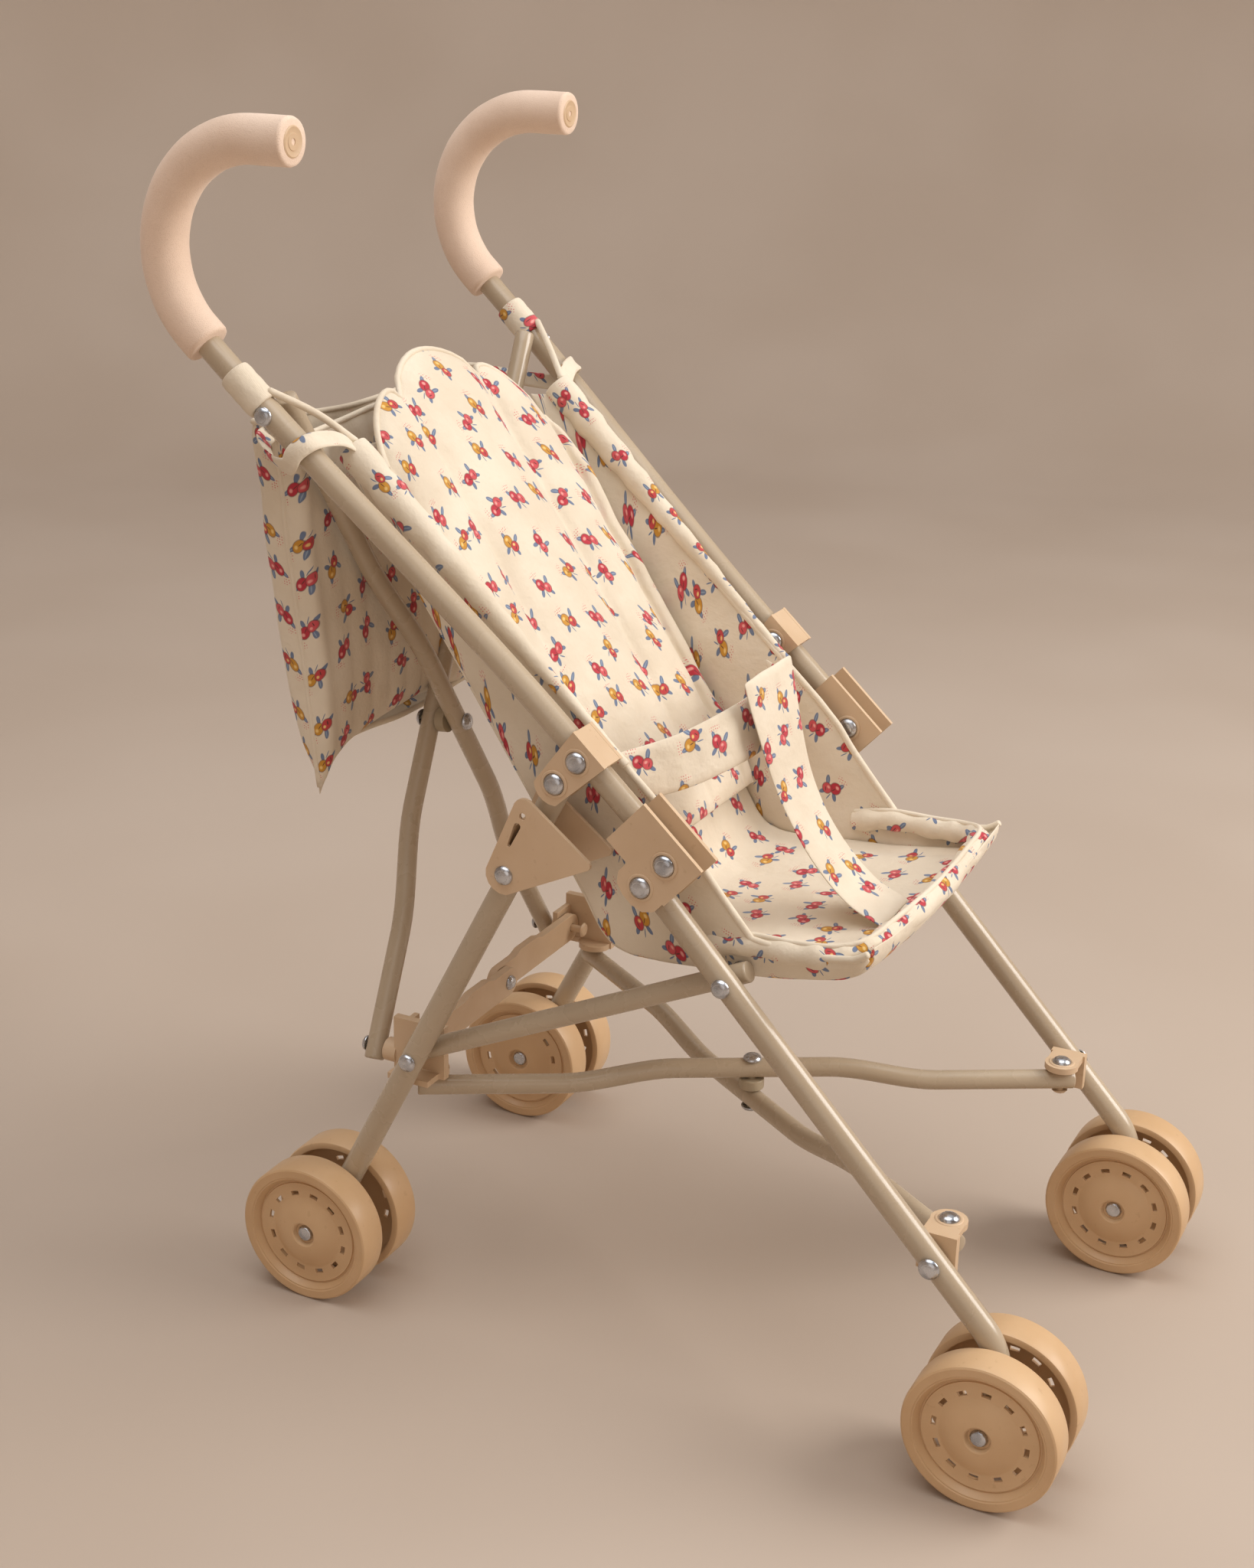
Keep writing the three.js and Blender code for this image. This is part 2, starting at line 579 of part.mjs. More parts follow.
// ---------- assembly ----------
const LOOKS = {
  tube: ['tube_enamel', 0xbcae93, 0.34, 0.25],
  plastic: ['tan_plastic', 0xc9a37a, 0.5, 0],
  wheel: ['wheel_plastic', 0xcda273, 0.5, 0],
  foam: ['grip_foam', 0xd6b597, 0.85, 0],
  steel: ['zinc_steel', 0xb9bcc2, 0.25, 0.9],
  cloth: ['printed_cotton', 0xeee1cb, 0.9, 0],
  pale: ['pale_plastic', 0xb5a284, 0.5, 0],
}

const group = new THREE.Group()
group.name = 'doll_stroller'

function add(name, look, solid) {
  const [label, color, roughness, metalness] = LOOKS[look]
  const material = new THREE.MeshStandardMaterial({ name: `${label}_${name}`, color, roughness, metalness })
  const mesh = new THREE.Mesh(fromManifold(solid), material)
  mesh.name = name
  group.add(mesh)
}

for (const [name, side] of [['right', -1], ['left', 1]]) {
  add(`handle_rail_${name}`, 'tube', handleRail(side))
  add(`grip_${name}`, 'foam', grip(side))
  add(`grip_cap_${name}`, 'plastic', gripCap(side))
  add(`rail_bracket_${name}`, 'plastic', railBracket(side))
  add(`front_leg_${name}`, 'tube', frontLeg(side))
  add(`elbow_saddle_${name}`, 'plastic', saddle(side))
  add(`elbow_pin_${name}`, 'steel', crossPin(side, ELBOW, -CHEEK_OUT - 0.3, CHEEK_OUT + 0.3))
  add(`rear_leg_${name}`, 'tube', rearLeg(side))
  add(`leg_pin_${name}`, 'steel', crossPin(side, LEG_TOP, -CHEEK_OUT - 0.3, CHEEK_OUT + 0.3))
  add(`side_link_${name}`, 'tube', sideLink(side))
  add(`link_pin_${name}`, 'steel', crossPin(side, LINK_FRONT, -17, 6.4, 4.2))
  add(`leg_catch_${name}`, 'plastic', legCatch(side))
  add(`front_bracket_${name}`, 'plastic', frontBracket(side))
  add(`rear_bracket_${name}`, 'plastic', rearBracket(side))
  add(`brace_arm_${name}`, 'plastic', braceArm(side))
  add(`back_bar_${name}`, 'tube', backBar(side))
  add(`lower_bar_${name}`, 'tube', lowerBar(side))
  add(`rail_loop_${name}`, 'cloth', railLoop(side))
  for (const [end, axle] of [['front', FRONT_AXLE], ['rear', REAR_AXLE]]) {
    add(`${end}_axle_${name}`, 'steel', axlePin(side, axle))
    for (const which of ['outer', 'inner']) {
      add(`${end}_wheel_${name}_${which}`, 'wheel', wheel(side, axle, which))
    }
  }
}
add('lower_spacer', 'pale', throughSpacer(lowCentre, UPWARDS))
add('back_spacer', 'pale', crossSpacer(backCentre, backNormal))
add('seat_sling', 'cloth', seatSling())
add('back_pad', 'cloth', backPad())
add('rear_bag', 'cloth', rearBag())
add('waist_strap', 'cloth', waistStrap())
add('crotch_strap', 'cloth', crotchStrap())

export default group
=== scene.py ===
import math

import bmesh
import bpy
import numpy as np
from mathutils import Matrix, Vector, noise


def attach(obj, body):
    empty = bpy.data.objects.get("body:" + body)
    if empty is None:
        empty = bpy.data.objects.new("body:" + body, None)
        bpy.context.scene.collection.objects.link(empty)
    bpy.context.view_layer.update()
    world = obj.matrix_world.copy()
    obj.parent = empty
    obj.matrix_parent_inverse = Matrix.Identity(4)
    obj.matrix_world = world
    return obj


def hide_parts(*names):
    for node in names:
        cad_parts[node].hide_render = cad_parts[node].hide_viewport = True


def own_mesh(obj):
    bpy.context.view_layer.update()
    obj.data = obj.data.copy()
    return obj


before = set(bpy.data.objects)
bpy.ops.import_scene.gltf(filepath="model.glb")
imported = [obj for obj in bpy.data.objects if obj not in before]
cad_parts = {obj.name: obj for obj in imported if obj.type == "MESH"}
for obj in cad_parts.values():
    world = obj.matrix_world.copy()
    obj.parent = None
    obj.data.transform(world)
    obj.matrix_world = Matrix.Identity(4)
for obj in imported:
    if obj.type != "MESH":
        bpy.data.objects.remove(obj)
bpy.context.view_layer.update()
MM = 0.001

# ---------- the frame's layout in millimetres, as in the CAD source; side is -1 right, 1 left ----------
PLANE_X = 110
TUBE_R = 6
BAR_R = 5
END = 7
WHEEL_R = 36
RAIL_ANGLE, LEG_ANGLE, REAR_ANGLE, BACK_ANGLE = 42, 46.4, 63.3, 56


def at(p, d, s):
    return (p[0] + d[0] * s, p[1] + d[1] * s)


def direction(angle):
    return (math.cos(math.radians(angle)), math.sin(math.radians(angle)))


U = direction(RAIL_ANGLE)
N = (-U[1], U[0])
L = direction(180 + LEG_ANGLE)
R = direction(-REAR_ANGLE)
ELBOW = (-30, 267)
BRACKET = at(ELBOW, U, 59.6)
LEG_TOP = at(BRACKET, N, -15.9)
SADDLE_PIN = at(ELBOW, N, -17)
LINK_FRONT = at(SADDLE_PIN, L, 57)
FRONT_PIN = at(SADDLE_PIN, L, 209.7)
CATCH_PIN = at(LEG_TOP, R, 53.5)
LINK_REAR = at(LEG_TOP, R, 177.9)
LINK_X = 98.4
FRONT_AXLE = (-196.6, WHEEL_R)
REAR_AXLE = (155.2, WHEEL_R)
LOW_X, LOW_FRONT, LOW_REAR = 88, (-162, 103), (108, 111)
BACK_BOTTOM, BACK_TOP, BACK_TOP_X = (140, 125), (168, 445), 107
BRACE_FACE, BRACE_HEIGHT = 113.2, 130
BACK_FOOT = (15, 223)
BD = direction(BACK_ANGLE)
BN = (-BD[1], BD[0])
SIDES = (("right", -1), ("left", 1))
OTHER = {"right": "left", "left": "right"}


def smooth(t):
    t = min(1, max(0, t))
    return t * t * (3 - 2 * t)


def on_rail(a, b):
    return at(at(ELBOW, U, a), N, b)


def on_back(a, b):
    return at(at(BACK_FOOT, BD, a), BN, b)


# ---------- camera ----------
CAMERA_AT = Vector((-0.956, -0.421, 0.641))
AZIMUTH, ELEVATION, ROLL = math.radians(-63.9), math.radians(20.0), math.radians(1.46)


def add_camera():
    data = bpy.data.cameras.new("camera")
    data.lens, data.sensor_height, data.sensor_fit = 52.3, 36, "VERTICAL"
    camera = bpy.data.objects.new("camera", data)
    bpy.context.scene.collection.objects.link(camera)
    level = math.cos(ELEVATION)
    back = Vector((math.sin(AZIMUTH) * level, -math.cos(AZIMUTH) * level, math.sin(ELEVATION)))
    right = Vector((math.cos(AZIMUTH), math.sin(AZIMUTH), 0))
    up = back.cross(right)
    turned = right * math.cos(ROLL) + up * math.sin(ROLL)
    camera.matrix_world = Matrix((turned, back.cross(turned), back)).transposed().to_4x4()
    camera.matrix_world.translation = CAMERA_AT
    bpy.context.scene.camera = camera


# ---------- material helpers ----------
class Paint:
    """A node material, with short calls for the nodes that the looks are made of."""

    def __init__(self, name):
        self.material = bpy.data.materials.new(name)
        self.material.use_nodes = True
        self.tree = self.material.node_tree
        self.shader = self.tree.nodes["Principled BSDF"]

    def put(self, socket, value):
        if isinstance(value, bpy.types.NodeSocket):
            self.tree.links.new(value, socket)
        else:
            socket.default_value = value

    def node(self, kind, out=0, **inputs):
        made = self.tree.nodes.new("ShaderNode" + kind)
        for key, value in inputs.items():
            if key.islower():
                setattr(made, key, value)
            else:
                self.put(made.inputs[key.replace("_", " ")], value)
        return made.outputs[out]

    def math(self, operation, a, b=0.0, clamp=False):
        made = self.tree.nodes.new("ShaderNodeMath")
        made.operation, made.use_clamp = operation, clamp
        self.put(made.inputs[0], a)
        self.put(made.inputs[1], b)
        return made.outputs[0]

    def ramp(self, value, low, high, start=0.0, end=1.0):
        made = self.tree.nodes.new("ShaderNodeMapRange")
        made.interpolation_type = "SMOOTHSTEP"
        for index, item in enumerate((value, low, high, start, end)):
            self.put(made.inputs[index], item)
        return made.outputs[0]

    def mix(self, factor, a, b):
        made = self.tree.nodes.new("ShaderNodeMix")
        made.data_type = "RGBA"
        self.put(made.inputs[0], factor)
        self.put(made.inputs[6], a)
        self.put(made.inputs[7], b)
        return made.outputs[2]

    def noise(self, scale, detail=3.0, where=None, out=0):
        where = where or self.node("TexCoord", 3)
        return self.node("TexNoise", out, Vector=where, Scale=scale, Detail=detail)

    def bump(self, height, strength, distance, normal=None):
        made = self.tree.nodes.new("ShaderNodeBump")
        self.put(made.inputs["Height"], height)
        made.inputs["Strength"].default_value = strength
        made.inputs["Distance"].default_value = distance
        if normal is not None:
            self.put(made.inputs["Normal"], normal)
        return made.outputs[0]

    def finish(self, **inputs):
        for key, value in inputs.items():
            self.put(self.shader.inputs[key.replace("_", " ")], value)
        return self.material


def rgb(r, g, b):
    """A display colour, 0 to 255, as the linear colour that a shader takes."""
    return tuple(((c / 255 + 0.055) / 1.055) ** 2.4 for c in (r, g, b)) + (1.0,)


def enamel():
    p = Paint("tube_enamel")
    broad = p.noise(14, 2)
    colour = p.mix(p.ramp(broad, 0.35, 0.7), rgb(186, 169, 145), rgb(176, 158, 134))
    specks = p.ramp(p.noise(900, 2), 0.62, 0.72)
    colour = p.mix(p.math("MULTIPLY", specks, 0.12), colour, rgb(140, 126, 106))
    rough = p.ramp(p.noise(60, 4), 0.3, 0.7, 0.22, 0.32)
    orange_peel = p.bump(p.noise(420, 2), 0.12, 0.0002)
    return p.finish(
        Base_Color=colour, Roughness=rough, Normal=orange_peel, Coat_Weight=0.4, Coat_Roughness=0.15,
    )


def moulded_plastic(name, light, dark, rough=0.42):
    p = Paint(name)
    flow = p.noise(22, 4)
    colour = p.mix(p.ramp(flow, 0.3, 0.72), light, dark)
    spots = p.ramp(p.noise(260, 2), 0.66, 0.74)
    colour = p.mix(p.math("MULTIPLY", spots, 0.16), colour, rgb(158, 118, 80))
    roughness = p.ramp(p.noise(90, 3), 0.3, 0.7, rough - 0.06, rough + 0.07)
    texture = p.bump(p.noise(1500, 2), 0.1, 0.0001)
    return p.finish(
        Base_Color=colour, Roughness=roughness, Normal=p.bump(p.noise(45, 2), 0.05, 0.0006, texture),
        Subsurface_Weight=0.04, Subsurface_Radius=(0.004, 0.002, 0.001),
    )


def foam():
    p = Paint("grip_foam")
    cells = p.node("TexVoronoi", 0, Vector=p.node("TexCoord", 3), Scale=1900.0)
    pores = p.ramp(cells, 0.05, 0.55)
    broad = p.ramp(p.noise(16, 3), 0.3, 0.7)
    colour = p.mix(broad, rgb(238, 214, 194), rgb(230, 203, 181))
    # the darker colour at the pores is painted shade inside the pits, which the bump alone does not cast
    colour = p.mix(p.math("MULTIPLY", p.math("SUBTRACT", 1.0, pores), 0.22), colour, rgb(184, 150, 122))
    height = p.math("ADD", pores, p.math("MULTIPLY", p.noise(300, 3), 0.6))
    return p.finish(
        Base_Color=colour, Roughness=0.86, Normal=p.bump(height, 0.35, 0.0003),
        Sheen_Weight=0.25, Sheen_Roughness=0.5,
    )


def zinc():
    p = Paint("zinc_steel")
    stains = p.noise(150, 4)
    colour = p.mix(p.ramp(stains, 0.4, 0.7), rgb(205, 208, 214), rgb(168, 172, 180))
    rough = p.ramp(p.noise(400, 3), 0.3, 0.7, 0.16, 0.34)
    grain = p.bump(p.noise(500, 2), 0.08, 0.0001)
    return p.finish(Base_Color=colour, Metallic=1.0, Roughness=rough, Normal=grain)


def rotated(p, x, y, angle):
    """The two coordinates turned by an angle socket."""
    c, s = p.math("COSINE", angle), p.math("SINE", angle)
    along = p.math("ADD", p.math("MULTIPLY", x, c), p.math("MULTIPLY", y, s))
    across = p.math("SUBTRACT", p.math("MULTIPLY", y, c), p.math("MULTIPLY", x, s))
    return along, across


def spot(p, x, y, cx, cy, rx, ry, turn=0.0, soft=0.12):
    """A mask of one ellipse, turned in place: 1 inside and 0 outside."""
    dx, dy = p.math("SUBTRACT", x, cx), p.math("SUBTRACT", y, cy)
    c, s = math.cos(turn), math.sin(turn)
    a = p.math("ADD", p.math("MULTIPLY", dx, c / rx), p.math("MULTIPLY", dy, s / rx))
    b = p.math("SUBTRACT", p.math("MULTIPLY", dy, c / ry), p.math("MULTIPLY", dx, s / ry))
    distance = p.math("SQRT", p.math("ADD", p.math("MULTIPLY", a, a), p.math("MULTIPLY", b, b)))
    return p.ramp(distance, 1 - soft, 1 + soft, 1.0, 0.0)


SPRIG = 0.0225  # spacing of the printed sprigs
CREAM = rgb(233, 221, 201)


def cotton(name, printed=True):
    """Cream cotton in the flat pattern's own coordinates, with or without a scattered sprig print."""
    p = Paint(name)
    uv = p.node("UVMap", uv_map="cloth")
    broad = p.ramp(p.noise(24, 4), 0.3, 0.7)
    colour = p.mix(broad, CREAM, rgb(222, 208, 186))
    if printed:
        cell = p.node("VectorMath", operation="SCALE", Scale=1 / SPRIG)
        scaled = cell.node
        p.put(scaled.inputs[0], uv)
        voronoi = p.tree.nodes.new("ShaderNodeTexVoronoi")
        voronoi.voronoi_dimensions = "2D"
        voronoi.inputs["Scale"].default_value = 1.0
        voronoi.inputs["Randomness"].default_value = 0.5
        p.put(voronoi.inputs["Vector"], scaled.outputs[0])
        offset = p.node("VectorMath", operation="SUBTRACT")
        p.put(offset.node.inputs[0], scaled.outputs[0])
        p.put(offset.node.inputs[1], voronoi.outputs["Position"])
        apart = p.node("SeparateXYZ", Vector=offset)
        pick = p.node("SeparateColor", Color=voronoi.outputs["Color"])
        angle = p.math("SUBTRACT", p.math("MULTIPLY", pick.node.outputs[0], 2.6), 1.3)
        x, y = rotated(p, apart.node.outputs[0], apart.node.outputs[1], angle)
        kind = p.ramp(pick.node.outputs[1], 0.49, 0.51)
        ripe = p.mix(kind, rgb(192, 48, 66), rgb(208, 150, 52))
        second = p.mix(kind, rgb(212, 84, 92), rgb(198, 66, 70))
        shine = p.mix(kind, rgb(238, 168, 160), rgb(240, 206, 132))
        leaf, vein, outline = rgb(92, 114, 150), rgb(150, 166, 186), rgb(92, 54, 50)
        layers = [
            (spot(p, x, y, 0.0, -0.215, 0.013, 0.085, 0.3), leaf),
            (spot(p, x, y, -0.175, 0.14, 0.052, 0.115, 0.5), leaf),
            (spot(p, x, y, -0.175, 0.14, 0.01, 0.085, 0.5), vein),
            (spot(p, x, y, 0.17, 0.125, 0.052, 0.115, -0.45), leaf),
            (spot(p, x, y, 0.17, 0.125, 0.01, 0.085, -0.45), vein),
            (spot(p, x, y, -0.135, -0.15, 0.05, 0.10, -0.6), leaf),
            (spot(p, x, y, 0.175, -0.185, 0.045, 0.09, 0.7), leaf),
            (spot(p, x, y, -0.085, 0.045, 0.142, 0.146, 0.4), outline),
            (spot(p, x, y, -0.085, 0.045, 0.128, 0.132, 0.4), ripe),
            (spot(p, x, y, 0.105, -0.06, 0.126, 0.13, -0.5), outline),
            (spot(p, x, y, 0.105, -0.06, 0.112, 0.116, -0.5), second),
            (spot(p, x, y, -0.12, 0.085, 0.045, 0.035, 0.4, 0.5), shine),
            (spot(p, x, y, 0.08, -0.02, 0.038, 0.03, 0.2, 0.5), shine),
            (spot(p, x, y, -0.06, -0.005, 0.012, 0.055, 0.5), outline),
            (spot(p, x, y, 0.13, -0.095, 0.011, 0.05, -0.5), outline),
        ]
        for mask, paint in layers:
            colour = p.mix(p.math("MULTIPLY", mask, 0.92), colour, paint)
        dots = p.node("TexVoronoi", 0, Scale=1 / 0.0013, voronoi_dimensions="2D", Randomness=0.3, Vector=uv)
        cluster = spot(p, x, y, -0.16, 0.30, 0.15, 0.07, 0.3, 0.3)
        speck = p.math("MULTIPLY", p.ramp(dots, 0.2, 0.28, 1.0, 0.0), cluster)
        colour = p.mix(p.math("MULTIPLY", speck, 0.75), colour, rgb(206, 74, 84))
    parts = p.node("SeparateXYZ", Vector=uv)
    u, v = parts.node.outputs[0], parts.node.outputs[1]
    warp = p.math("SINE", p.math("MULTIPLY", u, 2 * math.pi / 0.00055))
    weft = p.math("SINE", p.math("MULTIPLY", v, 2 * math.pi / 0.00055))
    weave = p.math("MULTIPLY", warp, weft)
    creases = p.bump(p.noise(55, 5), 0.35, 0.004)
    fine = p.bump(p.noise(220, 4), 0.3, 0.0009, creases)
    threads = p.bump(weave, 0.35, 0.00012, fine)
    return p.finish(Base_Color=colour, Roughness=0.88, Normal=threads, Sheen_Weight=0.2, Sheen_Roughness=0.4)


# ---------- mesh helpers ----------
def place(name, mesh, material, body, replaces=(), angle=38):
    mesh.shade_smooth()
    mesh.set_sharp_from_angle(angle=math.radians(angle))
    obj = bpy.data.objects.new(name, mesh)
    bpy.context.scene.collection.objects.link(obj)
    mesh.materials.clear()
    mesh.materials.append(material)
    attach(obj, body)
    if replaces:
        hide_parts(*replaces)
    return obj


def mesh_from(name, points, faces):
    mesh = bpy.data.meshes.new(name)
    mesh.from_pydata([tuple(c * MM for c in p) for p in points], [], faces)
    mesh.validate()
    return mesh


def rings_mesh(name, rings, closed_ends=True):
    """Joins rings of equally many points into one skin."""
    count = len(rings[0])
    points = [p for ring in rings for p in ring]
    faces = []
    for i in range(len(rings) - 1):
        for k in range(count):
            a, b = i * count + k, i * count + (k + 1) % count
            faces.append((a, b, b + count, a + count))
    if closed_ends:
        faces.append(tuple(reversed(range(count))))
        faces.append(tuple(range(len(points) - count, len(points))))
    mesh = mesh_from(name, points, faces)
    bm = bmesh.new()
    bm.from_mesh(mesh)
    bmesh.ops.recalc_face_normals(bm, faces=bm.faces)
    bm.to_mesh(mesh)
    bm.free()
    return mesh


def frames_along(points):
    """A smooth pair of side directions at each point of a line."""
    points = [Vector(p) for p in points]
    tangents = []
    for i in range(len(points)):
        tangents.append((points[min(i + 1, len(points) - 1)] - points[max(i - 1, 0)]).normalized())
    side = tangents[0].orthogonal().normalized()
    out = []
    for p, t in zip(points, tangents):
        side = (side - t * side.dot(t)).normalized()
        out.append((p, t, side, t.cross(side)))
    return out


def tube_mesh(name, points, radius, segments=32, round_by=0.9):
    """A round bar along a line, with slightly rounded ends. radius may be a list, one for each point."""
    line = frames_along(points)
    radii = radius if isinstance(radius, list) else [radius] * len(line)

    def ring(p, a, b, r):
        turns = [2 * math.pi * k / segments for k in range(segments)]
        return [p + a * (r * math.cos(w)) + b * (r * math.sin(w)) for w in turns]

    rings = [ring(p, a, b, r) for (p, _, a, b), r in zip(line, radii)]
    for index, sign in ((0, 1), (-1, -1)):
        p, t, a, b = line[index]
        r = radii[index]
        steps = [(0.0, r - round_by), (round_by * 0.3, r - round_by * 0.3)]
        extra = [ring(p + t * sign * d, a, b, q) for d, q in steps]
        inner = ring(p + t * sign * round_by, a, b, r)
        if index == 0:
            rings = extra + [inner] + rings[1:]
        else:
            rings = rings[:-1] + [inner] + extra[::-1]
    return rings_mesh(name, rings)


def lathe_mesh(name, profile, centre, axis, segments=64):
    """A turned shape: profile holds (radius, distance along the axis), from axis to axis."""
    axis = Vector(axis).normalized()
    a = axis.orthogonal().normalized()
    b = axis.cross(a)
    rings = []
    for r, h in profile:
        turns = [2 * math.pi * k / segments for k in range(segments)]
        middle = Vector(centre) + axis * h
        rings.append([middle + a * (r * math.cos(w)) + b * (r * math.sin(w)) for w in turns])
    return rings_mesh(name, rings)


# ---------- tubes and bars ----------
SPLAY, SPLAY_FROM = 15, 72
HOOK_FROM, HOOK_R, HOOK_END = 316, 48.6, 21
GRIP_FROM = 308
RAIL_TURN = HOOK_R * math.radians(180 - RAIL_ANGLE)
RAIL_LENGTH = HOOK_FROM + RAIL_TURN + HOOK_END


def rail_place(side, s):
    x = PLANE_X + SPLAY * smooth((s - SPLAY_FROM) / (HOOK_FROM - SPLAY_FROM))
    straight = at(ELBOW, U, min(s, HOOK_FROM))
    if s <= HOOK_FROM:
        return (side * x, *straight)
    centre = at(straight, N, HOOK_R)
    angle = math.radians(RAIL_ANGLE - 90) + min(s - HOOK_FROM, RAIL_TURN) / HOOK_R
    forward = max(0, s - HOOK_FROM - RAIL_TURN)
    return (side * x, centre[0] + HOOK_R * math.cos(angle) - forward, centre[1] + HOOK_R * math.sin(angle))


def steps(a, b, count):
    return [a + (b - a) * i / count for i in range(count + 1)]


def rail_line(side, a, b, count):
    return [rail_place(side, s) for s in steps(a, b, count)]


def front_leg_line(side):
    x = side * PLANE_X
    corner_at = (FRONT_AXLE[0] - SADDLE_PIN[0]) / L[0]
    corner = at(SADDLE_PIN, L, corner_at)
    bend = 14
    line = [(x, *at(SADDLE_PIN, L, s)) for s in steps(-END, corner_at - bend, 8)]
    before, after = at(corner, L, -bend), (corner[0], corner[1] - bend)
    for t in steps(0, 1, 14)[1:]:
        y, z = [(1 - t) ** 2 * p + 2 * t * (1 - t) * c + t * t * q for p, c, q in zip(before, corner, after)]
        line.append((x, y, z))
    return line + [(x, corner[0], FRONT_AXLE[1] - END)]


def straight_line(x, p, q):
    length = math.dist(p, q)
    d = ((q[0] - p[0]) / length, (q[1] - p[1]) / length)
    return [(x, *at(p, d, s)) for s in steps(-END, length + END, 8)]


def bowed_line(start, finish, normal, bow, crossing):
    start, finish = Vector(start), Vector(finish)
    length = (finish - start).length
    line = []
    for t in steps(-END / length, 1 + END / length, 60):
        rise = smooth((0.3 - abs(t - crossing)) / 0.18)
        line.append(start.lerp(finish, t) + normal * bow * rise)
    return line


BAR_BOW = 8
BACK_CROSSING = LOW_X / (LOW_X + BACK_TOP_X)
BACK_NORMAL = Vector((0, -(BACK_TOP[1] - BACK_BOTTOM[1]), BACK_TOP[0] - BACK_BOTTOM[0])).normalized()
UPWARDS = Vector((0, 0, 1))


def add_tubes(material):
    for name, side in SIDES:
        rail = rail_line(side, -END, RAIL_LENGTH - 5, 90)
        rear_leg = straight_line(side * PLANE_X, LEG_TOP, REAR_AXLE)
        link = straight_line(side * LINK_X, LINK_FRONT, LINK_REAR)
        ends = (side * LOW_X, *LOW_FRONT), (-side * LOW_X, *LOW_REAR)
        low = bowed_line(*ends, UPWARDS, side * BAR_BOW, 0.5)
        ends = (side * LOW_X, *BACK_BOTTOM), (-side * BACK_TOP_X, *BACK_TOP)
        back = bowed_line(*ends, BACK_NORMAL, side * BAR_BOW, BACK_CROSSING)
        for label, bodies, line, radius in (
            ("handle_rail", "upper", rail, TUBE_R),
            ("front_leg", "front_leg", front_leg_line(side), TUBE_R),
            ("rear_leg", "rear_leg", rear_leg, TUBE_R),
            ("side_link", "side_link", link, BAR_R),
            ("lower_bar", "lower_bar", low, BAR_R),
            ("back_bar", "back_bar", back, BAR_R),
        ):
            node, body = f"{label}_{name}", f"{bodies}_{name}"
            mesh = tube_mesh(node, line, radius)
            place(f"{node}_tube", mesh, material, body, [node], 50)


# ---------- mouldings, from the CAD shape with softened edges ----------
def moulded(node, body, material, width=0.6, angle=24):
    bm = bmesh.new()
    bm.from_mesh(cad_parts[node].data)
    bmesh.ops.remove_doubles(bm, verts=bm.verts, dist=2e-5)
    bmesh.ops.dissolve_limit(bm, angle_limit=math.radians(3), verts=bm.verts, edges=bm.edges)
    bmesh.ops.recalc_face_normals(bm, faces=bm.faces)
    mesh = bpy.data.meshes.new(node)
    bm.to_mesh(mesh)
    bm.free()
    obj = place(f"{node}_moulding", mesh, material, body, [node])
    bevel = obj.modifiers.new("edges", "BEVEL")
    bevel.width, bevel.segments, bevel.limit_method = width * MM, 3, "ANGLE"
    bevel.angle_limit = math.radians(angle)
    bevel.harden_normals = True
    return obj


# turned profiles, as (radius, height): a rivet's head and the raised ring that it sits in
RIVET = [
    (0, 0), (4.9, 0), (5.0, 0.35), (4.75, 1.0), (4.1, 1.7), (3.2, 2.2), (2.9, 2.15), (2.2, 2.42), (0, 2.5),
]
RING = [(0, -0.4), (6.6, -0.4), (6.6, 0.1), (6.2, 0.4), (5.3, 0.4), (5.1, 0.1), (5.0, -0.2), (0, -0.2)]


def rivet(name, point, axis, body, material, scale=1.0, ring=None):
    head = lathe_mesh(name, [(r * scale, h) for r, h in RIVET], point, axis, 40)
    place(name, head, material, body, angle=30)
    if ring:
        seat = lathe_mesh(name + "_seat", RING, point, axis, 40)
        place(name + "_seat", seat, ring, body, angle=30)


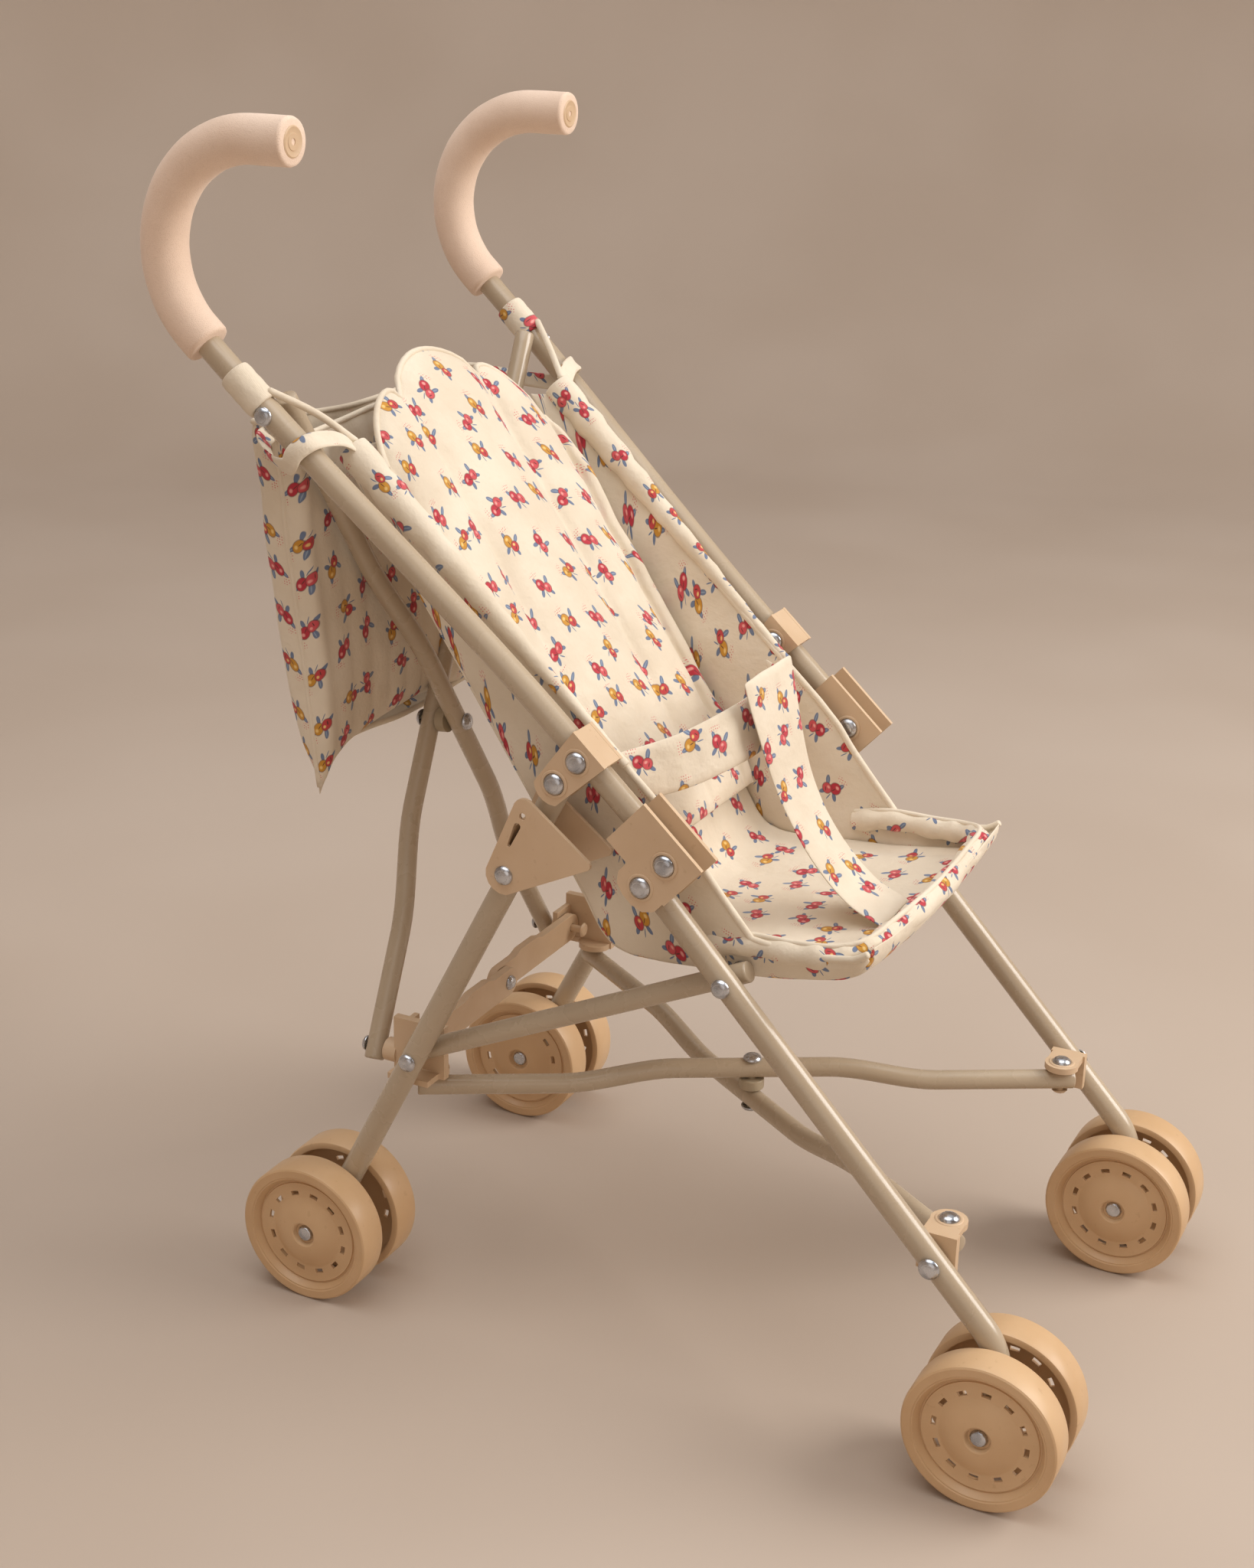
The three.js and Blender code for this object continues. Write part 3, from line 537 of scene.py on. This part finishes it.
def add_hardware(steel, plastic, pale):
    for name, side in SIDES:
        out, into = (side, 0, 0), (-side, 0, 0)

        def both(label, p, body, outer, inner=None, scale=1.0, ring=plastic):
            inner = outer if inner is None else inner
            rivet(f"{label}_{name}_out", (side * (PLANE_X + outer), *p), out, body, steel, scale, ring)
            rivet(f"{label}_{name}_in", (side * (PLANE_X - inner), *p), into, body, steel, scale, ring)

        both("bracket_rivet", BRACKET, f"upper_{name}", 8.95)
        both("leg_pin_head", LEG_TOP, f"rear_leg_{name}", 9.25)
        both("elbow_head", ELBOW, f"front_leg_{name}", 9.25)
        both("saddle_rivet", SADDLE_PIN, f"front_leg_{name}", 8.95)
        both("catch_rivet", CATCH_PIN, f"leg_catch_{name}", 11.35, ring=None, scale=0.94)
        both("link_head", LINK_FRONT, f"front_leg_{name}", 6.1, 16.6, 0.9, None)
        leg, bracket, bar = f"rear_leg_{name}", f"front_bracket_{name}", f"lower_bar_{OTHER[name]}"
        rivet(f"link_rear_{name}", (side * (PLANE_X + 6), *LINK_REAR), out, leg, steel, 0.9)
        rivet(f"front_pin_{name}", (side * (PLANE_X + 6.6), *FRONT_PIN), out, bracket, steel)
        y, z = LOW_FRONT
        rivet(f"ear_rivet_{name}", (side * LOW_X, y, z + 9.6), UPWARDS, bracket, steel, 0.95, plastic)
        y, z = LOW_REAR
        rivet(f"bar_rear_{name}", (side * LOW_X, y, z + 4.9), UPWARDS, bar, steel, 0.8)
        y, z = BACK_BOTTOM
        rivet(f"back_foot_{name}", (side * LOW_X, y + 4.9, z), (0, 1, 0), f"back_bar_{name}", steel, 0.8)
        rivet(f"back_top_{name}", (side * 129, *BACK_TOP), out, f"upper_{name}", steel, 0.9)
        moulded(f"elbow_pin_{name}", f"front_leg_{name}", steel, 0.2)
        moulded(f"leg_pin_{name}", f"rear_leg_{name}", steel, 0.2)
        moulded(f"link_pin_{name}", f"front_leg_{name}", steel, 0.2)
        for node, body in (
            ("rail_bracket", "upper"), ("elbow_saddle", "front_leg"), ("leg_catch", "leg_catch"),
            ("front_bracket", "front_bracket"), ("rear_bracket", "rear_leg"), ("brace_arm", "brace_arm"),
        ):
            moulded(f"{node}_{name}", f"{body}_{name}", plastic)
        for end in ("front", "rear"):
            moulded(f"{end}_axle_{name}", f"{end}_leg_{name}", steel, 0.3)
    moulded("lower_spacer", "lower_bar_right", pale, 0.5)
    moulded("back_spacer", "back_bar_right", pale, 0.5)
    brace = (0, BRACE_FACE, BRACE_HEIGHT)
    rivet("brace_middle", brace, (0, -1, 0), "brace_arm_right", steel, 0.8)
    middle = Vector((0, (LOW_FRONT[0] + LOW_REAR[0]) / 2, (LOW_FRONT[1] + LOW_REAR[1]) / 2))
    rivet("lower_cross_top", middle + UPWARDS * 13, UPWARDS, "lower_bar_right", steel, 0.95)
    rivet("lower_cross_under", middle - UPWARDS * 13, -UPWARDS, "lower_bar_right", steel, 0.95)
    crossing = Vector((0, *BACK_BOTTOM)).lerp(Vector((0, *BACK_TOP)), BACK_CROSSING)
    rivet("back_cross_front", crossing + BACK_NORMAL * 13, BACK_NORMAL, "back_bar_left", steel, 0.9)
    rivet("back_cross_rear", crossing - BACK_NORMAL * 13, -BACK_NORMAL, "back_bar_right", steel, 0.9)


# ---------- wheels ----------
WHEEL_SEGMENTS = 120
SLOTS = 12
SLOT_STEPS = 4  # segments that each slot takes
# a slot's inner rim on the outer face, and its outer rim on the inner face
SLOT_IN, SLOT_OUT = (20.3, 14.5), (22.6, 12.9)
# (radius, height above the edge next to the tube): the outer face, then back along the inner face
WHEEL_OUTER = [
    (5.2, 15.6), (6.0, 17.6), (6.6, 18.0), (9, 17.9), (13, 17.1), (16.5, 15.8), (18.6, 14.6), (19.4, 14.4),
    (20.3, 14.5), (22.6, 14.5), (26.2, 14.4), (27.0, 14.7), (27.3, 14.0), (28.0, 14.0), (28.4, 15.2),
    (30.2, 17.4), (30.8, 17.4), (31.3, 17.8), (34.8, 17.9), (35.6, 17.4), (36, 16.4),
]
WHEEL_INNER = [
    (36, 1.6), (35.5, 0.5), (34.6, 0.1), (32.6, 0.1), (32.0, 0.6), (31.3, 5), (30, 10.4), (27, 12.2),
    (22.6, 12.9), (20.3, 12.9), (9, 12.4), (8.2, 11.6), (8, 6.6), (2.6, 6.5), (2.6, 15.5),
]

DISC_OUT = 6.6  # from the side frame's plane to the base of either disc


def wheel_mesh(outward):
    """A dished disc with grooves, a domed hub and a ring of slots right through; built about the X axis."""
    profile = WHEEL_OUTER + WHEEL_INNER
    count = len(profile)
    ring_out = WHEEL_OUTER.index(SLOT_IN)
    ring_in = len(WHEEL_OUTER) + WHEEL_INNER.index(SLOT_OUT)
    points, faces = [], []
    for k in range(WHEEL_SEGMENTS):
        turn = 2 * math.pi * k / WHEEL_SEGMENTS
        points += [(outward * h, r * math.cos(turn), r * math.sin(turn)) for r, h in profile]
    per_slot = WHEEL_SEGMENTS // SLOTS
    for k in range(WHEEL_SEGMENTS):
        k2 = (k + 1) % WHEEL_SEGMENTS
        open_here = k % per_slot < SLOT_STEPS
        for i in range(count):
            j = (i + 1) % count
            if open_here and i in (ring_out, ring_in):
                continue
            faces.append((k * count + i, k * count + j, k2 * count + j, k2 * count + i))
        if open_here:
            for a, b in ((ring_out, ring_in + 1), (ring_out + 1, ring_in)):
                faces.append((k * count + a, k2 * count + a, k2 * count + b, k * count + b))
            wall = (ring_out, ring_out + 1, ring_in, ring_in + 1)
            if k % per_slot == 0:
                faces.append(tuple(k * count + i for i in wall))
            if k % per_slot == SLOT_STEPS - 1:
                faces.append(tuple(k2 * count + i for i in wall))
    mesh = mesh_from("wheel", points, faces)
    bm = bmesh.new()
    bm.from_mesh(mesh)
    bmesh.ops.recalc_face_normals(bm, faces=bm.faces)
    bm.to_mesh(mesh)
    bm.free()
    return mesh


def add_wheels(material):
    for name, side in SIDES:
        for end, axle in (("front", FRONT_AXLE), ("rear", REAR_AXLE)):
            for which, outward in (("outer", side), ("inner", -side)):
                node = f"{end}_wheel_{name}_{which}"
                mesh = wheel_mesh(outward)
                shift = Vector((side * PLANE_X + outward * DISC_OUT, *axle)) * MM
                turn = 0.2 + len(node) * 0.9  # so that no two discs stand alike
                mesh.transform(Matrix.Translation(shift) @ Matrix.Rotation(turn, 4, "X"))
                place(f"{node}_disc", mesh, material, node, [node], 32)


# ---------- grips ----------
# a grip's end plug, as (radius, depth below the grip's face)
PLUG = [
    (0, 0.9), (1.3, 0.9), (1.5, -0.35), (3.6, -0.4), (3.9, -0.1), (5.2, -0.15), (6.3, -0.5), (6.9, -0.1),
    (7.1, 0.6), (0, 1.0),
]


def add_grips(material, plastic):
    for name, side in SIDES:
        body = f"upper_{name}"
        line = rail_line(side, GRIP_FROM, RAIL_LENGTH, 72)
        swell = [0.25 * math.sin(i * 0.7) for i in range(73)]
        radii = [10.75 + 0.15 * s for s in swell]
        mesh = tube_mesh(f"grip_{name}", line, radii, 48, 1.6)
        place(f"grip_{name}_foam", mesh, material, body, [f"grip_{name}"], 60)
        face = Vector(rail_place(side, RAIL_LENGTH))
        cap = lathe_mesh(f"cap_{name}", [(r, -h) for r, h in PLUG], face, (0, -1, 0), 48)
        place(f"grip_cap_{name}_plug", cap, plastic, body, [f"grip_cap_{name}"], 30)


# ---------- sewn goods ----------
SEWN = "upper_right"  # the body that the cloth rides on


def shell(name, grid, front, back, material, body, replaces=(), flip=False):
    """A closed padded sheet about a grid of middle points.
    front and back are its thicknesses, in millimetres. Its flat coordinates, in metres, are the UV map
    named cloth."""
    P = np.array(grid, float)
    rows, cols = P.shape[:2]
    du = np.gradient(P, axis=0)
    dv = np.gradient(P, axis=1)
    normal = np.cross(du, dv)
    normal /= np.linalg.norm(normal, axis=2, keepdims=True) + 1e-9
    if flip:
        normal = -normal
    F, B = np.broadcast_to(front, (rows, cols)), np.broadcast_to(back, (rows, cols))
    rim = np.ones((rows, cols))
    rim[0, :] = rim[-1, :] = 0.25
    rim[:, 0] = rim[:, -1] = 0.25
    top = P + normal * (F * rim)[..., None]
    under = P - normal * (B * rim)[..., None]
    points = np.concatenate([top.reshape(-1, 3), under.reshape(-1, 3)])
    size = rows * cols

    def quad(i, j, base):
        a = base + i * cols + j
        return (a, a + cols, a + cols + 1, a + 1)

    faces = [quad(i, j, 0) for i in range(rows - 1) for j in range(cols - 1)]
    faces += [quad(i, j, size)[::-1] for i in range(rows - 1) for j in range(cols - 1)]
    border = [(i, 0) for i in range(rows)] + [(rows - 1, j) for j in range(1, cols)]
    border += [(i, cols - 1) for i in range(rows - 2, -1, -1)] + [(0, j) for j in range(cols - 2, 0, -1)]
    for (i, j), (k, m) in zip(border, border[1:] + border[:1]):
        a, b = i * cols + j, k * cols + m
        faces.append((a, a + size, b + size, b))
    mesh = mesh_from(name, points.tolist(), faces)
    along_steps = np.cumsum(np.linalg.norm(np.diff(P, axis=0), axis=2), axis=0)
    across_steps = np.cumsum(np.linalg.norm(np.diff(P, axis=1), axis=2), axis=1)
    along = np.concatenate([np.zeros((1, cols)), along_steps])
    across = np.concatenate([np.zeros((rows, 1)), across_steps], axis=1)
    along -= along[rows // 2].mean()
    across -= across[:, cols // 2].reshape(-1, 1)
    flat = np.stack([along, across], axis=2).reshape(-1, 2) * MM
    uv = mesh.uv_layers.new(name="cloth")
    index = np.array([loop.vertex_index for loop in mesh.loops]) % size
    uv.data.foreach_set("uv", flat[index].astype(np.float32).ravel())
    obj = place(name, mesh, material, body, replaces, 180)
    soft = obj.modifiers.new("soft", "SUBSURF")
    soft.levels = soft.render_levels = 1
    return obj


def wrinkle(p, size, amount, seed=0.0):
    return amount * noise.noise(Vector((p[0] / size + seed, p[1] / size, p[2] / size)))


def piping(name, line, material, radius=1.5, body=None):
    """A thin cord or a stuffed roll along a line. Its cloth coordinates run up the rails and across them."""
    mesh = tube_mesh(name, line, radius, 20, 0.8)
    uv = mesh.uv_layers.new(name="cloth")
    co = np.array([mesh.vertices[loop.vertex_index].co[:] for loop in mesh.loops])
    along = co[:, 1] * U[0] + co[:, 2] * U[1]
    across = co[:, 0] + co[:, 1] * N[0] + co[:, 2] * N[1]
    uv.data.foreach_set("uv", np.stack([along, across], axis=1).astype(np.float32).ravel())
    return place(name, mesh, material, body or SEWN, angle=180)


SEAMS = [-84, -75, -36, 36, 75, 84]  # the pad's sewn channels, across the seat
PAD_FOOT = 9
CUSPS = [212, 228, 258, 258, 228, 212]  # the pad's height at each seam
LOBES = [4, 15, 21, 15, 4]  # how far each lobe rises above its cusps


def between(places, count):
    """Evenly spaced values from each place to the next, with each place once."""
    spans = [np.linspace(a, b, count) for a, b in zip(places, places[1:])]
    return np.unique(np.round(np.concatenate(spans), 4))


def channel(x):
    """How far a point is into its channel: 0 on a seam and 1 in the middle."""
    for a, b in zip(SEAMS, SEAMS[1:]):
        if a <= x <= b:
            u = (x - a) / (b - a)
            return (4 * u * (1 - u)) ** 0.45
    return 0.0


def pad_height(x):
    """The scalloped top of the back pad."""
    for i, (a, b) in enumerate(zip(SEAMS, SEAMS[1:])):
        if a <= x <= b:
            u = (x - a) / (b - a)
            return (1 - u) * CUSPS[i] + u * CUSPS[i + 1] + LOBES[i] * (4 * u * (1 - u)) ** 0.6
    return CUSPS[0]


def add_back_pad(material, plain):
    rows, front = [], []
    for x in between(SEAMS, 13):
        top = pad_height(x)
        row, depth = [], []
        for t in steps(0, 1, 56):
            s = PAD_FOOT + (top - PAD_FOOT) * t
            ends = min(1, (1 - t) * 9, t * 12) ** 0.5
            lift = 5.4 + 1.6 * math.sin(math.pi * t) * (1 - (x / 90) ** 2)
            y, z = on_back(s, lift + wrinkle((x, s, 0), 34, 1.2))
            row.append((x, y, z))
            depth.append(1.2 + 6.4 * channel(x) * ends + wrinkle((x, s, 9), 15, 1.0) * channel(x))
        rows.append(row)
        front.append(depth)
    pad = shell("back_pad_quilt", rows, np.array(front) * 0.95, 3.4, material, SEWN, ["back_pad"])
    squashed(pad)
    for label, line in (("top", [row[-1] for row in rows]), ("right", rows[0]), ("left", rows[-1])):
        squashed(piping(f"pad_piping_{label}", line, plain, 1.5))


def squashed(obj):
    """Applies the cloth's smoothing modifier and gives the object its own copy of its mesh."""
    for modifier in list(obj.modifiers):
        if modifier.type == "SUBSURF":
            apply_modifier(obj, modifier)
    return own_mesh(obj)


def apply_modifier(obj, modifier):
    bpy.context.view_layer.objects.active = obj
    with bpy.context.temp_override(object=obj, active_object=obj, selected_objects=[obj]):
        bpy.ops.object.modifier_apply(modifier=modifier.name)


SEAT_HALF = 89
# the seat's middle line as (y, z), from the front lip to the foot of the back
SEAT_LINE = [
    (-118.2, 235.5), (-117, 229), (-113, 222.5), (-104, 217.5), (-92, 214.5), (-79, 212.3), (-60, 210),
    (-38, 208), (-16, 206.5), (0, 206.5), (9, 209.5), (15.5, 216), (19, 222),
]
# the padded rim, from the side wing round the corner to the middle of the front
RIM_SIDE = [(-90, -40, 221), (-90.5, -60, 225), (-90, -84, 225.5), (-87.5, -101, 227), (-78, -111.5, 229)]
RIM_FRONT = [(-52, -114.5, 229.5), (0, -116, 228.5)]


def polyline(points, count):
    """Points evenly spaced along a line."""
    p = np.array(points, float)
    d = np.concatenate([[0], np.cumsum(np.linalg.norm(np.diff(p, axis=0), axis=1))])
    s = np.linspace(0, d[-1], count)
    return np.stack([np.interp(s, d, p[:, k]) for k in range(p.shape[1])], axis=1)


def add_seat(material, plain):
    """The seat and the back of the sling, one sheet from the front lip to the top of the back."""
    back = [on_back(s, -3.2) for s in steps(12, 244, 24)]
    line = polyline(SEAT_LINE + back, 110)
    rows, front = [], []
    for x in between([-SEAT_HALF] + SEAMS[1:-1] + [SEAT_HALF], 9):
        row, depth = [], []
        for i, (y, z) in enumerate(line):
            t = i / (len(line) - 1)
            seat = smooth((0.5 - t) / 0.12)
            lip = smooth((0.10 - t) / 0.10)
            hollow = 1 - (x / SEAT_HALF) ** 2
            sag = -6.5 * hollow * seat * (1 - 0.3 * lip)
            forward = -1.5 * hollow * lip
            row.append((x, y + forward, z + sag + wrinkle((x, y, z), 26, 1.1) * seat))
            puff = 1.1 + 2.6 * channel(max(-82, min(82, x * 0.92))) * smooth(t / 0.06) * seat
            depth.append(puff)
        rows.append(row)
        front.append(depth)
    seat = shell("seat_sling_cloth", rows, np.array(front), 1.2, material, SEWN, ["seat_sling"])
    squashed(seat)
    half = RIM_SIDE + RIM_FRONT
    rim = spline(half + [(-x, y, z) for x, y, z in half[-2::-1]], 110)
    radii = [5.4 + 0.5 * math.sin(i * 0.9) + 0.3 * math.sin(i * 0.37) for i in range(len(rim))]
    roll = piping("seat_rim_roll", rim, material, radii)
    squashed(roll)
    squashed(piping("rim_piping", [p + Vector((0, 0, 5.2)) for p in rim], plain, 1.3))


BOLSTER_FROM, BOLSTER_TO = 46, 236  # the stuffed roll beside each rail, as distances from the elbow


def wing_grid(side):
    """One side wing: from the sling's edge up to the handle rail, and low beside the front of the seat."""
    back = [on_back(s, -2.5) for s in steps(10, 244, 24)]
    foot = polyline(SEAT_LINE[1:] + back, 84)
    rail_low = on_rail(4, 1)
    rim = [(-117.5, 234), (-112, 230), (-100, 228), (-80, 227), (-62, 229), (-47, 246), (-36, 259), rail_low]
    rim += [on_rail(a, 2) for a in steps(20, 232, 22)]
    top = polyline(rim, 84)
    rows = []
    for (y0, z0), (y1, z1) in zip(foot, top):
        row = []
        for t in steps(0, 1, 14):
            y, z = y0 + (y1 - y0) * t, z0 + (z1 - z0) * t
            reach = 89.2 + 3.4 * smooth(t * 1.4) + 5.5 * smooth((y - 30) / 70) * t
            hollow = -3.0 * math.sin(math.pi * t) * smooth((y + 60) / 60)
            x = reach + hollow + wrinkle((y, z, side * 7), 24, 1.6) * math.sin(math.pi * t)
            row.append((side * min(x, 98.5), y, z))
        rows.append(row)
    return rows


def add_wings(material, plain):
    for name, side in SIDES:
        rows = wing_grid(side)
        wing = shell(f"side_wing_{name}", rows, 1.0, 1.0, material, SEWN, flip=side > 0)
        squashed(wing)
        squashed(piping(f"wing_piping_{name}", [row[-1] for row in rows], plain, 1.7))
        line, radii = [], []
        for a in steps(BOLSTER_FROM, BOLSTER_TO, 40):
            swell = smooth((a - BOLSTER_FROM) / (BOLSTER_TO - BOLSTER_FROM))
            line.append((side * (93.5 + 4 * swell), *on_rail(a, 3 + 1.5 * swell)))
            radii.append((2.2 + 5.6 * swell) * (1 + 0.07 * math.sin(a * 0.31) + 0.04 * math.sin(a * 0.83)))
        bolster = piping(f"rail_bolster_{name}", line, material, radii)
        squashed(bolster)


PRINT_SHIFT = 0.011  # moves the bag's print along, so that it crosses the gussets
BAG_HALF, BAG_TOP = 97, 431
BAG_GUSSET = 0.1  # share of each half panel that turns forward or back to the side seam
BAG_COLUMNS = [-1, -0.98, -0.96, -0.94, -0.92] + steps(-0.9, 0.9, 64) + [0.92, 0.94, 0.96, 0.98, 1]


def bag_panel(name, sign, material):
    """Half of the bag: the rear one with sign 1, the front one with sign -1. Both reach the side seams."""
    deep, belly = (12.5, 3) if sign > 0 else (8.5, 1)
    rows, depth = [], []
    for k in BAG_COLUMNS:
        low = 254 + 21 * (1 - abs(k) ** 6)
        gusset = math.sin(math.pi / 2 * min(1, (1 - abs(k)) / BAG_GUSSET))
        row, puffs = [], []
        for t in steps(0, 1, 44):
            half = BAG_HALF - 11 * t
            x = k / (1 - BAG_GUSSET) * (half - 3)
            if abs(k) > 1 - BAG_GUSSET:
                x = math.copysign(half - 3 * gusset, k)
            z = BAG_TOP - 3 * math.cos(k * math.pi) * sign + (low - BAG_TOP) * t
            seam = 185 - 13 * t
            reach = deep * gusset + belly * (1 - k * k)
            y = seam + sign * reach * (1 - t ** 7) ** 0.6 + wrinkle((x, z, sign * 5), 30, 1.5)
            row.append((x, y, z))
            stripe = abs(math.sin(math.pi * (k + 1) * 6)) ** 0.5
            puffs.append(0.9 + 1.6 * stripe * min(1, t * 20, (1 - t) * 14))
        rows.append(row)
        depth.append(puffs)
    panel = shell(name, rows, np.array(depth), 1.0, material, SEWN, flip=sign < 0)
    for corner in panel.data.uv_layers["cloth"].data:
        corner.uv.x += PRINT_SHIFT
    return squashed(panel), rows


def add_bag(material, plain):
    rear, rows = bag_panel("bag_rear_panel", 1, material)
    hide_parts("rear_bag")
    _, inner = bag_panel("bag_front_panel", -1, material)
    outline = rows[0] + [row[-1] for row in rows[1:-1]] + rows[-1][::-1]
    squashed(piping("bag_seam", outline, plain, 1.5))
    squashed(piping("bag_hem_rear", [row[0] for row in rows], plain, 1.4))
    squashed(piping("bag_hem_front", [row[0] for row in inner], plain, 1.4))


def band(name, line, width, across, material, replaces=(), thick=1.3, rolls=1.0, body=None):
    """A sewn strap: soft edges, a slight roll and creases along it."""
    line = [Vector(p) for p in line]
    rows = []
    for i, (p, t, _, _) in enumerate(frames_along(line)):
        share = i / (len(line) - 1)
        w = Vector(across)
        w = (w - t * w.dot(t)).normalized()
        face = t.cross(w).normalized()
        row = []
        for k in steps(-1, 1, 10):
            half = width(share) / 2
            lift = rolls * (0.5 - k * k) + wrinkle((p + w * k * half), 13, 1.6) * (1 - k * k)
            row.append(tuple(p + w * (k * half) + face * lift))
        rows.append(row)
    strap = shell(name, rows, thick, thick, material, body or SEWN, replaces)
    return strap if body else squashed(strap)


def spline(points, count):
    """A smooth line through points, by Catmull-Rom."""
    p = [Vector(q) for q in points]
    p = [p[0] * 2 - p[1]] + p + [p[-1] * 2 - p[-2]]
    out = []
    for s in steps(0, len(points) - 1, count):
        i = min(int(s), len(points) - 2)
        t = s - i
        a, b, c, d = p[i : i + 4]
        square, cube = a * 2 - b * 5 + c * 4 - d, b * 3 - a - c * 3 + d
        out.append(0.5 * (b * 2 + (c - a) * t + square * t * t + cube * t ** 3))
    return out


def waist_width(t):
    """A little wider in the middle than where it meets the wings."""
    return 24 + 4 * math.sin(math.pi * t)


def crotch_width(t):
    """Wide as a bib at the top, and narrower where it is sewn to the seat."""
    return 56 - 18 * smooth(t * 1.8)


def add_straps(material):
    half = 87
    right = [(-half, 9, 290), (-60, -10, 294), (-28, -22, 299)]
    waist = spline(right + [(0, -25, 301)] + [(-x, y, z) for x, y, z in right[::-1]], 48)
    slope = (0, 0.27, 1)
    band("waist_strap_cloth", waist, waist_width, slope, material, ["waist_strap"], rolls=0.6)
    crotch = [(-25, 325), (-31, 303), (-42, 270), (-58, 243), (-78, 223), (-97, 214)]
    crotch = spline([(0, y, z) for y, z in crotch], 44)
    band("crotch_strap_cloth", crotch, crotch_width, (1, 0, 0), material, ["crotch_strap"], rolls=-0.8)


RIBBON_WIDTH = 9


def add_loops(printed, plain):
    for name, side in SIDES:
        cloth = plain if side < 0 else printed
        radii = [7.5, 7.9, 7.7, 7.85, 7.6, 7.8, 7.5]
        line = rail_line(side, 271, 291, 6)
        mesh = tube_mesh(f"loop_{name}", line, radii, 32, 0.7)
        uv = mesh.uv_layers.new(name="cloth")
        co = np.array([mesh.vertices[loop.vertex_index].co[:] for loop in mesh.loops])
        uv.data.foreach_set("uv", (co[:, [1, 2]]).astype(np.float32).ravel())
        body = f"upper_{name}"
        place(f"rail_loop_{name}_cloth", mesh, cloth, body, [f"rail_loop_{name}"], 60)
        ahead = Vector((0, *N))
        start = Vector(rail_place(side, 274)) + ahead * 7.5
        corner = Vector((side * 98, *on_rail(236, 9)))
        mid = start.lerp(corner, 0.5) + ahead * 1.5 + Vector((-side * 1.5, 0, 0))
        piping(f"ribbon_rail_{name}", spline([start, mid, corner], 20), plain, 1.7, body)
        wrap = [
            (93, 189, 430), (107, 184, 429), (120, 171, 425), (129.5, 156, 424),
            (130.5, *on_rail(244, 1)), (124, *on_rail(243, 8.5)), (110, *on_rail(240, 10)),
            (99, *on_rail(234, 8)),
        ]
        line = spline([(side * x, y, z) for x, y, z in wrap], 40)
        width = lambda share: RIBBON_WIDTH
        band(f"ribbon_bag_{name}", line, width, (0, *U), printed, thick=0.8, rolls=0.2, body=body)


# ---------- floor, backdrop and lights ----------
def add_stage():
    profile = [(0.0, 0.0), (1.9, 0.0)]
    profile += [(1.9 + 0.8 * math.sin(a), 0.8 - 0.8 * math.cos(a)) for a in steps(0, math.pi / 2, 20)]
    profile += [(2.7, 3.2)]
    segments = 96
    turns = [2 * math.pi * k / segments for k in range(segments)]
    points, faces = [(0, 0, -0.05)], []
    for r, z in profile[1:]:
        points += [(r * math.cos(w), r * math.sin(w), z) for w in turns]
    faces += [(0, 1 + k, 1 + (k + 1) % segments) for k in range(segments)]
    for i in range(len(profile) - 2):
        for k in range(segments):
            a, b = 1 + i * segments + k, 1 + i * segments + (k + 1) % segments
            faces.append((a, a + segments, b + segments, b))
    mesh = bpy.data.meshes.new("sweep_floor")
    mesh.from_pydata([(x, y, z if z > 0 else 0.0) for x, y, z in points], [], faces)
    mesh.shade_smooth()
    floor = bpy.data.objects.new("sweep_floor", mesh)
    bpy.context.scene.collection.objects.link(floor)
    p = Paint("paper_floor")
    colour = p.mix(p.ramp(p.noise(2.5, 2), 0.3, 0.7), rgb(191, 176, 162), rgb(185, 169, 154))
    tooth = p.bump(p.noise(350, 3), 0.05, 0.0005)
    mesh.materials.append(p.finish(Base_Color=colour, Roughness=0.9, Normal=tooth))


def area_light(name, position, size, power, colour):
    data = bpy.data.lights.new(name, "AREA")
    data.shape, data.size, data.energy, data.color = "DISK", size, power, colour
    light = bpy.data.objects.new(name, data)
    light.location = position
    light.rotation_euler = (Vector((0, 0, 0.25)) - Vector(position)).to_track_quat("-Z", "Y").to_euler()
    bpy.context.scene.collection.objects.link(light)


def add_lights():
    area_light("window", (0.75, -1.75, 1.35), 1.5, 40, (1.0, 0.97, 0.93))
    area_light("overhead", (-0.3, 0.1, 2.3), 2.2, 21, (1.0, 0.98, 0.97))
    area_light("fill", (-1.7, -0.6, 0.9), 1.6, 3, (1.0, 0.97, 0.94))
    world = bpy.data.worlds.new("room")
    world.use_nodes = True
    world.node_tree.nodes["Background"].inputs[0].default_value = (1.0, 0.985, 0.98, 1)
    world.node_tree.nodes["Background"].inputs[1].default_value = 0.64
    bpy.context.scene.world = world
    bpy.context.scene.view_settings.view_transform = "Standard"


def build():
    add_camera()
    steel = zinc()
    tan = moulded_plastic("tan_plastic", rgb(214, 187, 156), rgb(205, 176, 143))
    wheel = moulded_plastic("wheel_plastic", rgb(211, 177, 137), rgb(200, 164, 123), 0.4)
    pale = moulded_plastic("pale_plastic", rgb(180, 165, 140), rgb(168, 153, 128))
    print_cloth = cotton("printed_cotton")
    plain_cloth = cotton("plain_cotton", printed=False)
    add_tubes(enamel())
    add_hardware(steel, tan, pale)
    add_wheels(wheel)
    add_grips(foam(), tan)
    add_back_pad(print_cloth, plain_cloth)
    add_seat(print_cloth, plain_cloth)
    add_wings(print_cloth, plain_cloth)
    add_bag(print_cloth, plain_cloth)
    add_straps(print_cloth)
    add_loops(print_cloth, plain_cloth)
    add_stage()
    add_lights()


build()
